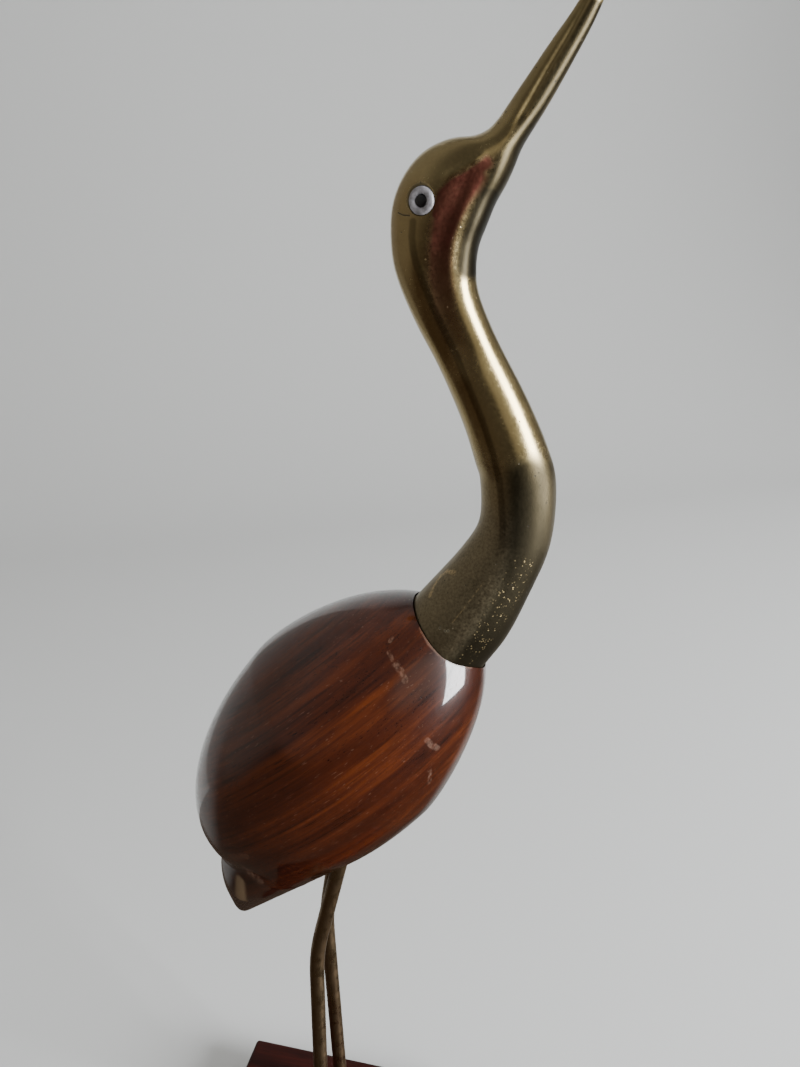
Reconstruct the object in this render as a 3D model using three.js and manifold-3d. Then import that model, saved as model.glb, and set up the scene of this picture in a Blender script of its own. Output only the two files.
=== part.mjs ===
// A standing heron: an egg-shaped lacquered wood body on two bent brass rods, with a cast brass
// neck and head. The bird looks along +X and stands on a wood slab. Millimetres, +Z up, origin at
// the centre of the slab's underside.

import * as THREE from 'three';
import { mergeVertices } from 'three/addons/utils/BufferGeometryUtils.js';
import Module from 'manifold-3d';

const wasm = await Module();
wasm.setup();

// Driving dimensions. Heights are above the slab's top and lengths run forward from the feet.
const SLAB = { rear: 29, front: 41, width: 44, thickness: 11, easedEdge: 0.9, cornerRadius: 1.2 };
const FIT_GAP = 0.3;

// Each leg's foot, knee and hip: forward, out from the middle, up. The rods are bent by hand, so
// the two differ a little.
const LEG = { diameter: 3.2, kneeBlend: 6, slabSocket: 8, sides: 14, steps: 26 };
const LEGS = {
  leg_right: { side: -1, foot: [0, 7.0, 0], knee: [-0.5, 4.6, 65.2], hip: [7.9, 4.0, 101] },
  leg_left: { side: 1, foot: [0.7, 7.3, 0], knee: [-1.1, 4.6, 67.6], hip: [4.4, 4.0, 101] },
};

const EGG = {
  centre: [6.8, 120.3],
  slope: 49.7,
  rear: 42.5,
  front: 34.1,
  halfDepth: 22.7,
  widthRatio: 0.92,
  rearFullness: 2.25,
  frontFullness: 1.43,
  bow: 0.76,
  lean: 1.07,
  rings: 30,
  sides: 36,
};

// A lofted form is a row of chords in the bird's middle plane, each with a half width across. Seen
// from the bird's right side, a chord runs from the right of the way the form runs to its left:
// forward and up of the first end, forward and up of the second end, half width.
const TAIL = {
  chords: [
    [-16.0, 100.0, 2.6, 87.4, 15.7],
    [-20.7, 90.2, -5.4, 80.7, 12.0],
    [-21.7, 84.2, -10.9, 76.2, 8.6],
    [-20.8, 79.9, -14.8, 72.3, 5.7],
    [-20.1, 77.3, -17.4, 69.8, 3.8],
  ],
  capBulge: 1.6,
  ringsPerSpan: 3,
  sides: 28,
};

// The neck runs from its foot in the body up to the beak's tip: throat side, then back.
const NECK = {
  chords: [
    [29.5, 132.2, 17.0, 145.3, 8.8],
    [33.2, 138.0, 21.1, 150.6, 8.6],
    [36.8, 143.8, 23.8, 153.9, 8.2],
    [40.6, 152.1, 28.4, 159.8, 7.2],
    [43.7, 161.5, 31.3, 165.2, 6.4],
    [44.0, 172.0, 31.2, 172.1, 6.1],
    [42.1, 178.5, 30.2, 175.4, 5.8],
    [38.1, 186.8, 28.0, 181.8, 5.2],
    [33.1, 195.6, 23.9, 190.7, 4.8],
    [30.1, 202.1, 19.8, 198.0, 5.0],
    [29.4, 206.0, 16.6, 205.2, 5.3],
    [29.7, 209.6, 15.7, 210.6, 5.6],
    [30.9, 212.8, 16.0, 215.9, 5.8],
    [32.1, 215.8, 17.9, 220.2, 5.7],
    [33.6, 218.4, 21.0, 223.4, 5.2],
    [34.7, 220.8, 25.0, 225.0, 4.6],
    [35.5, 222.9, 28.7, 225.3, 3.9],
    [36.6, 224.9, 31.4, 226.7, 3.2],
    [39.2, 228.9, 34.5, 230.8, 2.5],
    [42.7, 235.0, 39.1, 237.1, 2.0],
    [45.6, 240.6, 42.8, 242.1, 1.5],
    [48.9, 249.1, 47.4, 250.0, 0.8],
  ],
  tipBulge: 0.8,
  ringsPerSpan: 2,
  sides: 28,
};

// The hollow of each cheek runs between the brow and the throat, from the beak down the neck.
const CHEEK = { from: 9, to: 18, angle: 62, spread: 17, depth: 0.13 };

const EYE = {
  along: 21.5,
  up: 216.05,
  turnedBack: 15,
  ringDiameter: 4.1,
  pupilDiameter: 2.0,
  thickness: 1.6,
  proud: 0.25,
  dome: 0.25,
  domeSteps: 4,
  ringGap: 0.15,
  pupilGap: 0.08,
  sides: 28,
};

const FINISH = {
  bodyWood: { color: 0x5a2412, roughness: 0.25, metalness: 0 },
  slabWood: { color: 0x3a1412, roughness: 0.4, metalness: 0 },
  brass: { color: 0xb08d4a, roughness: 0.3, metalness: 1 },
  ring: { color: 0xc9c8cc, roughness: 0.3, metalness: 0 },
  pupil: { color: 0x101010, roughness: 0.3, metalness: 0 },
};

const radians = THREE.MathUtils.degToRad;

function mesh(name, geometry, finish) {
  const result = new THREE.Mesh(geometry, new THREE.MeshStandardMaterial(finish));
  result.name = name;
  return result;
}

// Closed geometry and solids

function toSolid(geometry) {
  const bare = geometry.clone();
  bare.deleteAttribute('normal');
  bare.deleteAttribute('uv');
  const merged = mergeVertices(bare, 1e-4);
  return new wasm.Manifold(new wasm.Mesh({
    numProp: 3,
    vertProperties: new Float32Array(merged.attributes.position.array),
    triVerts: new Uint32Array(merged.index.array),
  }));
}

function toGeometry(solid) {
  const result = solid.getMesh();
  const geometry = new THREE.BufferGeometry();
  geometry.setAttribute('position', new THREE.BufferAttribute(result.vertProperties, 3));
  geometry.setIndex(new THREE.BufferAttribute(result.triVerts, 1));
  geometry.computeVertexNormals();
  return geometry;
}

// A skin over closed rings of points, closed by one point at each end.
function skin(firstPoint, rings, lastPoint) {
  const sides = rings[0].length;
  const points = [firstPoint, ...rings.flat(), lastPoint];
  const last = points.length - 1;
  const at = (ring, side) => 1 + ring * sides + (side % sides);
  const faces = [];
  for (let side = 0; side < sides; side += 1) {
    faces.push(0, at(0, side + 1), at(0, side));
    faces.push(last, at(rings.length - 1, side), at(rings.length - 1, side + 1));
    for (let ring = 0; ring < rings.length - 1; ring += 1) {
      faces.push(at(ring, side), at(ring, side + 1), at(ring + 1, side));
      faces.push(at(ring, side + 1), at(ring + 1, side + 1), at(ring + 1, side));
    }
  }
  const geometry = new THREE.BufferGeometry().setFromPoints(points);
  geometry.setIndex(faces);
  geometry.computeVertexNormals();
  return geometry;
}

// A form lofted over chords. The reach may scale a point by its chord and its angle, where 0 is the
// chord's first end and 180 its second.
function loft({ chords, ringsPerSpan, sides }, bulge, reach = () => 1) {
  const { first, second, widths } = rails(chords);
  const spans = chords.length - 1;
  const across = new THREE.Vector3(0, 1, 0);
  const rings = [];
  for (let step = 0; step <= spans * ringsPerSpan; step += 1) {
    const share = step / (spans * ringsPerSpan);
    const half = first.getPoint(share).sub(second.getPoint(share)).multiplyScalar(0.5);
    const centre = second.getPoint(share).add(half);
    const halfWidth = widths.getPoint(share).y;
    const ring = [];
    for (let side = 0; side < sides; side += 1) {
      const angle = (side / sides) * Math.PI * 2;
      const scale = reach(share * spans, angle);
      ring.push(centre.clone()
        .addScaledVector(half, scale * Math.cos(angle))
        .addScaledVector(across, halfWidth * scale * Math.sin(angle)));
    }
    rings.push(ring);
  }
  const middle = ([x1, z1, x2, z2]) => new THREE.Vector3((x1 + x2) / 2, 0, (z1 + z2) / 2);
  const last = chords[spans];
  const outward = new THREE.Vector3(last[3] - last[1], 0, last[0] - last[2]).normalize();
  return skin(middle(chords[0]), rings, middle(last).addScaledVector(outward, bulge));
}

// The two edge curves of a lofted form, and a curve whose y is its half width.
function rails(chords) {
  const curve = (pick) => new THREE.CatmullRomCurve3(chords.map(pick), false, 'catmullrom', 0.5);
  return {
    first: curve(([x, z]) => new THREE.Vector3(x, 0, z)),
    second: curve(([, , x, z]) => new THREE.Vector3(x, 0, z)),
    widths: curve(([, , , , half], index) => new THREE.Vector3(index, half, 0)),
  };
}

// The egg of the body, or the same egg grown by a margin all round.
function egg(margin = 0) {
  const slope = radians(EGG.slope);
  const along = new THREE.Vector3(Math.cos(slope), 0, Math.sin(slope));
  const back = new THREE.Vector3(-Math.sin(slope), 0, Math.cos(slope));
  const across = new THREE.Vector3(0, 1, 0);
  const centre = new THREE.Vector3(EGG.centre[0], 0, EGG.centre[1]);
  const place = (share, angle) => {
    const towardsNose = share > 0;
    const reach = (towardsNose ? EGG.front : EGG.rear) + margin;
    const fullness = towardsNose ? EGG.frontFullness : EGG.rearFullness;
    const depth = (EGG.halfDepth + margin) * Math.sqrt(Math.max(0, 1 - Math.abs(share) ** fullness));
    const bow = (EGG.bow + EGG.lean * share) * (1 - share * share);
    return centre.clone()
      .addScaledVector(along, reach * share)
      .addScaledVector(back, bow - depth * Math.cos(angle))
      .addScaledVector(across, EGG.widthRatio * depth * Math.sin(angle));
  };
  const rings = [];
  for (let ring = 1; ring < EGG.rings; ring += 1) {
    const share = -Math.cos((ring / EGG.rings) * Math.PI);
    const points = [];
    for (let side = 0; side < EGG.sides; side += 1) {
      points.push(place(share, (side / EGG.sides) * Math.PI * 2));
    }
    rings.push(points);
  }
  return skin(place(-1, 0), rings, place(1, 0));
}

// A round rod along a path.
function rod(path, diameter) {
  const section = new THREE.Shape().absarc(0, 0, diameter / 2, 0, Math.PI * 2, false);
  return new THREE.ExtrudeGeometry(section, {
    steps: LEG.steps,
    curveSegments: LEG.sides / 2,
    bevelEnabled: false,
    extrudePath: path,
  });
}

// A leg runs up from the bottom of the slab's socket to the knee, bends there, and goes on into
// the body. The margin lengthens both ends.
function legPath({ side, foot, knee, hip }, margin) {
  const place = ([forward, out, up]) => new THREE.Vector3(forward, side * out, up);
  const kneePoint = place(knee);
  const shin = place(foot).sub(kneePoint);
  const thigh = place(hip).sub(kneePoint);
  const shinLength = shin.length() + LEG.slabSocket + margin;
  const thighLength = thigh.length() + margin;
  shin.normalize();
  thigh.normalize();
  const along = (direction, length) => kneePoint.clone().addScaledVector(direction, length);
  const below = along(shin, LEG.kneeBlend);
  const above = along(thigh, LEG.kneeBlend);
  const path = new THREE.CurvePath();
  path.add(new THREE.LineCurve3(along(shin, shinLength), below));
  path.add(new THREE.QuadraticBezierCurve3(below, kneePoint, above));
  path.add(new THREE.LineCurve3(above, along(thigh, thighLength)));
  return path;
}

function leg(layout) {
  return rod(legPath(layout, 0), LEG.diameter);
}

function legSocket(layout) {
  return toSolid(rod(legPath(layout, FIT_GAP), LEG.diameter + 2 * FIT_GAP));
}

function slab() {
  const inset = SLAB.easedEdge;
  const x0 = -SLAB.rear + inset;
  const x1 = SLAB.front - inset;
  const y1 = SLAB.width / 2 - inset;
  const r = SLAB.cornerRadius;
  const outline = new THREE.Shape();
  outline.absarc(x1 - r, -y1 + r, r, -Math.PI / 2, 0, false);
  outline.absarc(x1 - r, y1 - r, r, 0, Math.PI / 2, false);
  outline.absarc(x0 + r, y1 - r, r, Math.PI / 2, Math.PI, false);
  outline.absarc(x0 + r, -y1 + r, r, Math.PI, Math.PI * 1.5, false);
  outline.closePath();
  const geometry = new THREE.ExtrudeGeometry(outline, {
    depth: SLAB.thickness - 2 * inset,
    curveSegments: 3,
    bevelSize: inset,
    bevelThickness: inset,
    bevelSegments: 3,
  });
  geometry.translate(0, 0, -SLAB.thickness + inset);
  return toSolid(geometry);
}

// The cheek's hollow: how far a point on the head is drawn in, by station and angle.
function cheekReach(station, angle) {
  const span = CHEEK.to - CHEEK.from;
  const share = THREE.MathUtils.clamp((station - CHEEK.from) / span, 0, 1);
  const fade = Math.sin(share * Math.PI) ** 2;
  const off = (Math.abs(Math.abs(Math.atan2(Math.sin(angle), Math.cos(angle)))
    - radians(CHEEK.angle))) / radians(CHEEK.spread);
  return 1 - CHEEK.depth * fade * Math.exp(-off * off);
}

// Half the head's width at a place in the side view, read from the chord that passes nearest.
function headHalfWidth(x, z) {
  const { first, second, widths } = rails(NECK.chords);
  const place = new THREE.Vector3(x, 0, z);
  const samples = 600;
  let best = { miss: Infinity, half: 0 };
  for (let step = 0; step <= samples; step += 1) {
    const share = step / samples;
    const half = first.getPoint(share).sub(second.getPoint(share)).multiplyScalar(0.5);
    const offset = place.clone().sub(second.getPoint(share).add(half));
    const along = offset.dot(half) / half.lengthSq();
    const miss = offset.addScaledVector(half, -along).length();
    const width = widths.getPoint(share).y * Math.sqrt(Math.max(0, 1 - along * along));
    if (miss < best.miss) best = { miss, half: width };
  }
  return best.half;
}

// Eyes are turned about the head's side: their own +Y points out of the face.
function eyeFrame(side) {
  const frame = new THREE.Group();
  frame.position.set(EYE.along, side * headHalfWidth(EYE.along, EYE.up), EYE.up);
  const outward = new THREE.Vector3(
    -Math.sin(radians(EYE.turnedBack)), side * Math.cos(radians(EYE.turnedBack)), 0);
  frame.quaternion.setFromUnitVectors(new THREE.Vector3(0, 1, 0), outward);
  return frame;
}

function turned(profile) {
  return new THREE.LatheGeometry(profile.map(([r, y]) => new THREE.Vector2(r, y)), EYE.sides);
}

// The arched face of a ring or a disc, from its outer edge towards its inner one.
function arch(inner, outer, steps) {
  const middle = (inner + outer) / 2;
  return Array.from({ length: steps }, (_, step) => {
    const angle = (step / EYE.domeSteps) * Math.PI;
    const rise = EYE.dome * (Math.sin(angle) - 1);
    return [middle + (outer - middle) * Math.cos(angle), EYE.proud + rise];
  });
}

function eyeRing() {
  const outer = EYE.ringDiameter / 2;
  const inner = EYE.pupilDiameter / 2 + EYE.pupilGap;
  const low = EYE.proud - EYE.thickness;
  return turned([[inner, low], [outer, low], ...arch(inner, outer, EYE.domeSteps + 1), [inner, low]]);
}

function pupil() {
  const radius = EYE.pupilDiameter / 2;
  const low = EYE.proud - EYE.thickness;
  return turned([[0, low], [radius, low], ...arch(-radius, radius, EYE.domeSteps / 2), [0, EYE.proud]]);
}

function eyeSocket(side) {
  const radius = EYE.ringDiameter / 2 + EYE.ringGap;
  const geometry = turned([[0, EYE.proud - EYE.thickness - EYE.ringGap],
    [radius, EYE.proud - EYE.thickness - EYE.ringGap], [radius, EYE.thickness], [0, EYE.thickness]]);
  const frame = eyeFrame(side);
  frame.updateMatrix();
  return toSolid(geometry.applyMatrix4(frame.matrix));
}

// The pieces

const sockets = Object.values(LEGS).map(legSocket);

const slabSolid = sockets.reduce((solid, socket) => solid.subtract(socket), slab());

const bodyWhole = toSolid(egg()).add(toSolid(loft(TAIL, TAIL.capBulge)));
const bodySolid = sockets.reduce((solid, socket) => solid.subtract(socket), bodyWhole);

const neckWhole = toSolid(loft(NECK, NECK.tipBulge, cheekReach));
const neckSolid = neckWhole.subtract(toSolid(egg(FIT_GAP))).subtract(eyeSocket(1)).subtract(eyeSocket(-1));

const heron = new THREE.Group();
heron.position.set((SLAB.rear - SLAB.front) / 2, 0, SLAB.thickness);
heron.add(mesh('base', toGeometry(slabSolid), FINISH.slabWood));
for (const [name, layout] of Object.entries(LEGS)) {
  heron.add(mesh(name, leg(layout), FINISH.brass));
}
heron.add(mesh('body', toGeometry(bodySolid), FINISH.bodyWood));
heron.add(mesh('neck_and_head', toGeometry(neckSolid), FINISH.brass));
for (const [name, side] of [['right', -1], ['left', 1]]) {
  const socket = eyeFrame(side);
  socket.add(mesh(`eye_ring_${name}`, eyeRing(), FINISH.ring));
  socket.add(mesh(`pupil_${name}`, pupil(), FINISH.pupil));
  heron.add(socket);
}

const group = new THREE.Group();
group.add(heron);

export default group;
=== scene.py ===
"""The standing heron figure with its finishes: lacquered wood body, cast brass neck and head, rod legs.

Forms are laid out in millimetres from the feet: forward, to the bird's left, and up from the slab's top.
Materials read the object's own coordinates, which are metres from the middle of the slab's underside.
"""

import logging
import math
from collections.abc import Callable, Iterator, Sequence
from contextlib import contextmanager
from dataclasses import dataclass, replace
from enum import Enum
from functools import reduce
from typing import ClassVar

import bmesh
import bpy
import numpy as np
from mathutils import Matrix, Quaternion, Vector
from mathutils.bvhtree import BVHTree


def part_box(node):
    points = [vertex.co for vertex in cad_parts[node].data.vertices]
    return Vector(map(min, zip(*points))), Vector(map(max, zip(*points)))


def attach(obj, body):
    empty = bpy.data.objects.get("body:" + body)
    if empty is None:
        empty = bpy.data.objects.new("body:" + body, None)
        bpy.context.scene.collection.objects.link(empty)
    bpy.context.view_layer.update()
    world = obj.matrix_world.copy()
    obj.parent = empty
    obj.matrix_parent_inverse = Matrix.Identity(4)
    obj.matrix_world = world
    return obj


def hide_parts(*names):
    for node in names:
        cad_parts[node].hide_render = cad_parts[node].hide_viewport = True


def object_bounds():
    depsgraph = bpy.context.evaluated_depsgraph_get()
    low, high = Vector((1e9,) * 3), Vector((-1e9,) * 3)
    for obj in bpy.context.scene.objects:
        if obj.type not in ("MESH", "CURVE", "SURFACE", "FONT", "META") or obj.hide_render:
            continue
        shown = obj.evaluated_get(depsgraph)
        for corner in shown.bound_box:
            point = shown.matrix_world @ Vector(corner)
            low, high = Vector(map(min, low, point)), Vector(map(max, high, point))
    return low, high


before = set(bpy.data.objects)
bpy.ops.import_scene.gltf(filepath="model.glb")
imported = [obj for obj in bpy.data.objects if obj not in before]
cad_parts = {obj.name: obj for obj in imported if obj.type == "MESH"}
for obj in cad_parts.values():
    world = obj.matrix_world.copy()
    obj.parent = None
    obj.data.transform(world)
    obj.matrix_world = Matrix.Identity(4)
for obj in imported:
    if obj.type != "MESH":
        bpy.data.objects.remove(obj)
CAD_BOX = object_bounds()

LOG = logging.getLogger("heron")

MM = 0.001
SLAB_LOW, SLAB_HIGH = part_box("base")
FEET_BEHIND_MIDDLE = 6.0
ACROSS = Vector((0.0, 1.0, 0.0))
# Points closer than this are one point.
CLEAN_WELD = 0.02 * MM
# Added to a depth so that it is never 0.
HARDLY_ANY = 1e-9
# How often a cage is subdivided, and the rounding of a loft's end: shares of the bulge, with their sizes.
SMOOTH_LEVELS = 2
CAP_STEPS = ((0.6, 0.72), (0.34, 0.4))
# Carving is full where the skin's normal points more than 1 / this to the side.
SIDEWAYS_GAIN = 1.6
# A painted line is full inside this share of its half width.
FULL_WIDTH = 0.4
# Degrees that the body's grain rises towards the front.
GRAIN_SLOPE = 40.0

Point2 = tuple[float, float]
Point3 = tuple[float, float, float]
Range = tuple[float, float]
Chord = tuple[float, float, float, float, float]
Colour = tuple[float, float, float]


class Slot(Enum):
    """The record's material slots."""

    BODY_WOOD = "body_wood"
    BASE_WOOD = "base_wood"
    BRASS = "brass"
    EYE_WHITE = "eye_white"
    EYE_BLACK = "eye_black"


class Side(Enum):
    """The bird's sides, with the sign of their places across."""

    RIGHT = -1
    LEFT = 1

    @property
    def node_end(self) -> str:
        """The end of this side's node names."""
        return self.name.lower()


def from_feet(forward: float, left: float, up: float) -> Vector:
    """Place a point given in millimetres from the feet.

    Args:
        forward: Millimetres towards the beak.
        left: Millimetres towards the bird's left.
        up: Millimetres above the slab's top.

    Returns:
        The point in metres in the object's frame.
    """
    return Vector(((forward - FEET_BEHIND_MIDDLE) * MM, left * MM, SLAB_HIGH.z + up * MM))


def placed(path: Sequence[Point2] | Sequence[Point3]) -> list[Vector]:
    """Place a path given in millimetres from the feet.

    Args:
        path: Its points. Points of two numbers, forward and up, lie in the bird's middle plane.

    Returns:
        The points in metres in the object's frame.
    """
    return [from_feet(point[0], point[1] if len(point) > 2 else 0.0, point[-1]) for point in path]


# Modelling helpers


def only(piece: bpy.types.Object) -> None:
    """Select one object alone and make it active.

    Args:
        piece: The object.
    """
    bpy.ops.object.select_all(action="DESELECT")
    piece.select_set(True)
    bpy.context.view_layer.objects.active = piece


@contextmanager
def editing(piece: bpy.types.Object) -> Iterator[bmesh.types.BMesh]:
    """Open an object in edit mode with nothing selected.

    Args:
        piece: The mesh object to edit.

    Yields:
        The mesh in editing.
    """
    only(piece)
    bpy.ops.object.mode_set(mode="EDIT")
    bpy.ops.mesh.select_all(action="DESELECT")
    yield bmesh.from_edit_mesh(piece.data)
    bpy.ops.object.mode_set(mode="OBJECT")


def settle(piece: bpy.types.Object) -> None:
    """Move an object's place, turn and scale into its mesh."""
    only(piece)
    bpy.ops.object.transform_apply(location=True, rotation=True, scale=True)


def face_outward(piece: bpy.types.Object) -> None:
    """Weld doubled points and point every face outward.

    Args:
        piece: The closed mesh object.
    """
    with editing(piece):
        bpy.ops.mesh.select_all(action="SELECT")
        bpy.ops.mesh.remove_doubles(threshold=CLEAN_WELD)
        bpy.ops.mesh.normals_make_consistent(inside=False)


def round_off(piece: bpy.types.Object) -> None:
    """Round a cage with a subdivision surface, applied.

    Args:
        piece: The cage.
    """
    only(piece)
    bpy.ops.object.modifier_add(type="SUBSURF")
    modifier = piece.modifiers[-1]
    modifier.levels = SMOOTH_LEVELS
    modifier.render_levels = SMOOTH_LEVELS
    bpy.ops.object.modifier_apply(modifier=modifier.name)


def cut_away(piece: bpy.types.Object, tool: bpy.types.Object) -> None:
    """Cut a solid with another, and delete the tool.

    Args:
        piece: The solid that is kept.
        tool: The solid that cuts it.
    """
    only(piece)
    bpy.ops.object.modifier_add(type="BOOLEAN")
    modifier = piece.modifiers[-1]
    modifier.operation = "DIFFERENCE"
    modifier.solver = "EXACT"
    modifier.object = tool
    bpy.ops.object.modifier_apply(modifier=modifier.name)
    bpy.data.objects.remove(tool, do_unlink=True)


def finish_piece(piece: bpy.types.Object, name: str, nodes: Sequence[str],
                 material: bpy.types.Material, crease: float) -> bpy.types.Object:
    """Name, shade, dress and attach a finished piece.

    Args:
        piece: The finished mesh object.
        name: Its name.
        nodes: The model's nodes that it stands for.
        material: Its material.
        crease: Edges sharper than this angle in degrees stay sharp.

    Returns:
        The same object.
    """
    only(piece)
    bpy.ops.object.shade_smooth_by_angle(angle=math.radians(crease))
    piece.name = name
    piece.data.name = name
    piece.data.materials.clear()
    piece.data.materials.append(material)
    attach(piece, "root")
    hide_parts(*nodes)
    LOG.info("%s: %d faces for %s", name, len(piece.data.polygons), ", ".join(nodes))
    return piece


def through_rows(rows: Sequence[Sequence[float]], share: float) -> np.ndarray:
    """Read a smooth curve through rows of numbers.

    Args:
        rows: The rows the curve passes through, evenly spaced along it.
        share: How far along, from 0 at the first row to 1 at the last.

    Returns:
        The row at that place.
    """
    table = np.array(rows, float)
    ends = np.vstack([2 * table[0] - table[1], table, 2 * table[-1] - table[-2]])
    place = share * (len(table) - 1)
    span = min(int(place), len(table) - 2)
    t = place - span
    before, start, end, after = ends[span:span + 4]
    return 0.5 * (2 * start + (end - before) * t
                  + (2 * before - 5 * start + 4 * end - after) * t ** 2
                  + (3 * start - before - 3 * end + after) * t ** 3)


def smooth_step(share: np.ndarray) -> np.ndarray:
    """Go smoothly from 0 to 1 as the share does, and stay there beyond."""
    share = np.clip(share, 0, 1)
    return share * share * (3 - 2 * share)


def drawn_in(sides: int) -> float:
    """Tell to what share of its radius a subdivision surface draws a ring of some sides in."""
    return (2 + math.cos(2 * math.pi / sides)) / 3


@dataclass(frozen=True)
class Ring:
    """One ring of a lofted form: an ellipse given by its middle and its two half axes, in metres.

    A pinch above 0 narrows its first end towards a point.
    """

    middle: Vector
    first_half: Vector
    second_half: Vector
    pinch: float = 0.0

    def add(self, sides: int) -> bpy.types.Object:
        """Add the ring as a circle at its size and place.

        Args:
            sides: How many points go round.

        Returns:
            The circle's object.
        """
        first = self.first_half.normalized()
        second = self.second_half.normalized()
        turn = Matrix((first, second, first.cross(second))).transposed().to_euler()
        bpy.ops.mesh.primitive_circle_add(vertices=sides, radius=1, location=self.middle, rotation=turn)
        circle = bpy.context.object
        for vertex in circle.data.vertices:
            vertex.co.y *= 1 - self.pinch * max(vertex.co.x, 0) ** 2
        circle.scale = (self.first_half.length, self.second_half.length, 1)
        return circle


def chord_rings(chords: Sequence[Chord], per_span: int, sides: int, pinch: float = 0.0,
                pinched_chords: float = 1.0) -> list[Ring]:
    """Turn chords in the bird's middle plane into closely spaced rings.

    Args:
        chords: Rows of first end (forward, up), second end (forward, up) and half width.
        per_span: How many rings each stretch between two chords gets.
        sides: Points round a ring, which sets how much a subdivision surface draws a ring in.
        pinch: How much the first ring narrows towards its first end.
        pinched_chords: After how many chords the rings are plain ellipses again.

    Returns:
        The rings, from the first chord to the last.
    """
    kept = drawn_in(sides)
    steps = (len(chords) - 1) * per_span
    rings = []
    for step in range(steps + 1):
        x1, z1, x2, z2, half_width = through_rows(chords, step / steps)
        first, second = from_feet(x1, 0, z1), from_feet(x2, 0, z2)
        left = 1 - smooth_step(step / per_span / pinched_chords)
        rings.append(Ring((first + second) / 2, (first - second) / 2 / kept,
                          ACROSS * half_width * MM / kept, pinch * left))
    return rings


def loft(rings: Sequence[Ring], sides: int, bulge: float) -> bpy.types.Object:
    """Bridge a stack of circles into one closed form.

    Args:
        rings: The rings in order.
        sides: Points round each ring.
        bulge: How far the last end's cap stands out, in metres.

    Returns:
        The closed form as a cage for a subdivision surface.
    """
    circles = [ring.add(sides) for ring in rings]
    for number, circle in enumerate(circles):
        circle.data.attributes.new("ring", "INT", "POINT").data.foreach_set("value", [number] * sides)
    bpy.ops.object.select_all(action="DESELECT")
    for circle in circles:
        circle.select_set(True)
    form = circles[0]
    bpy.context.view_layer.objects.active = form
    bpy.ops.object.join()
    settle(form)
    last = len(rings) - 1

    def select_rings(mesh: bmesh.types.BMesh, numbers: set[int]) -> None:
        """Select the edges of some rings only.

        Args:
            mesh: The form in editing.
            numbers: The rings' numbers.
        """
        bpy.ops.mesh.select_all(action="DESELECT")
        layer = mesh.verts.layers.int["ring"]
        for edge in mesh.edges:
            start, end = (vertex[layer] for vertex in edge.verts)
            edge.select_set(start == end and start in numbers)
        bmesh.update_edit_mesh(form.data)

    outward = (rings[last].middle - rings[last - 1].middle).normalized() * bulge
    with editing(form) as mesh:
        bpy.ops.mesh.select_mode(type="EDGE")
        for number in range(last):
            select_rings(mesh, {number, number + 1})
            bpy.ops.mesh.bridge_edge_loops()
            mesh = bmesh.from_edit_mesh(form.data)
        select_rings(mesh, {0})
        bpy.ops.mesh.edge_face_add()
        mesh = bmesh.from_edit_mesh(form.data)
        select_rings(mesh, {last})
        for rise, size in CAP_STEPS:
            bpy.ops.mesh.extrude_region_move(TRANSFORM_OT_translate={"value": outward * rise})
            bpy.ops.transform.resize(value=(size, size, size))
        bpy.ops.mesh.edge_face_add()
        bpy.ops.mesh.select_mode(type="VERT")
    face_outward(form)
    return form


@dataclass(frozen=True)
class Stroke:
    """A ridge or hollow along a path in the side view, the same on both sides. Millimetres."""

    path: tuple[Point2, ...]
    width: float
    rise: float
    fade: float = 0.18

    def height(self, places: np.ndarray) -> np.ndarray:
        """Read how far the stroke lifts the skin.

        Args:
            places: Points in metres, one a row.

        Returns:
            The lift at each point, in metres.
        """
        ends = np.array(placed(self.path))[:, [0, 2]]
        flat = places[:, [0, 2]]
        nearest = np.full(len(flat), np.inf)
        gone = np.zeros(len(flat))
        lengths = np.linalg.norm(np.diff(ends, axis=0), axis=1)
        for start, end, length, before in zip(ends[:-1], ends[1:], lengths, np.cumsum(lengths) - lengths):
            along = end - start
            share = np.clip((flat - start) @ along / (along @ along), 0, 1)
            miss = np.linalg.norm(flat - start - share[:, None] * along, axis=1)
            gone = np.where(miss < nearest, (before + share * length) / lengths.sum(), gone)
            nearest = np.minimum(nearest, miss)
        faded = smooth_step(np.minimum(gone, 1 - gone) / self.fade)
        return self.rise * MM * faded * np.exp(-(nearest / (self.width * MM)) ** 2)


def read_rows(items: bpy.types.bpy_prop_collection, key: str) -> np.ndarray:
    """Read a vector of every item of a mesh.

    Args:
        items: The mesh's vertices, or their normals.
        key: The vector's name.

    Returns:
        The vectors, one a row.
    """
    numbers = np.empty(len(items) * 3)
    items.foreach_get(key, numbers)
    return numbers.reshape(-1, 3)


def carve(piece: bpy.types.Object, strokes: Sequence[Stroke]) -> None:
    """Lift or hollow a piece's skin along strokes, where it faces sideways.

    Args:
        piece: The mesh object.
        strokes: What is carved.
    """
    mesh = piece.data
    places, normals = read_rows(mesh.vertices, "co"), read_rows(mesh.vertex_normals, "vector")
    lift = sum(stroke.height(places) for stroke in strokes)
    sideways = np.clip(np.abs(normals[:, 1]) * SIDEWAYS_GAIN, 0, 1)
    places = places + normals * (lift * sideways)[:, None]
    mesh.vertices.foreach_set("co", places.ravel())
    mesh.update()


# Shader graphs


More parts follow.
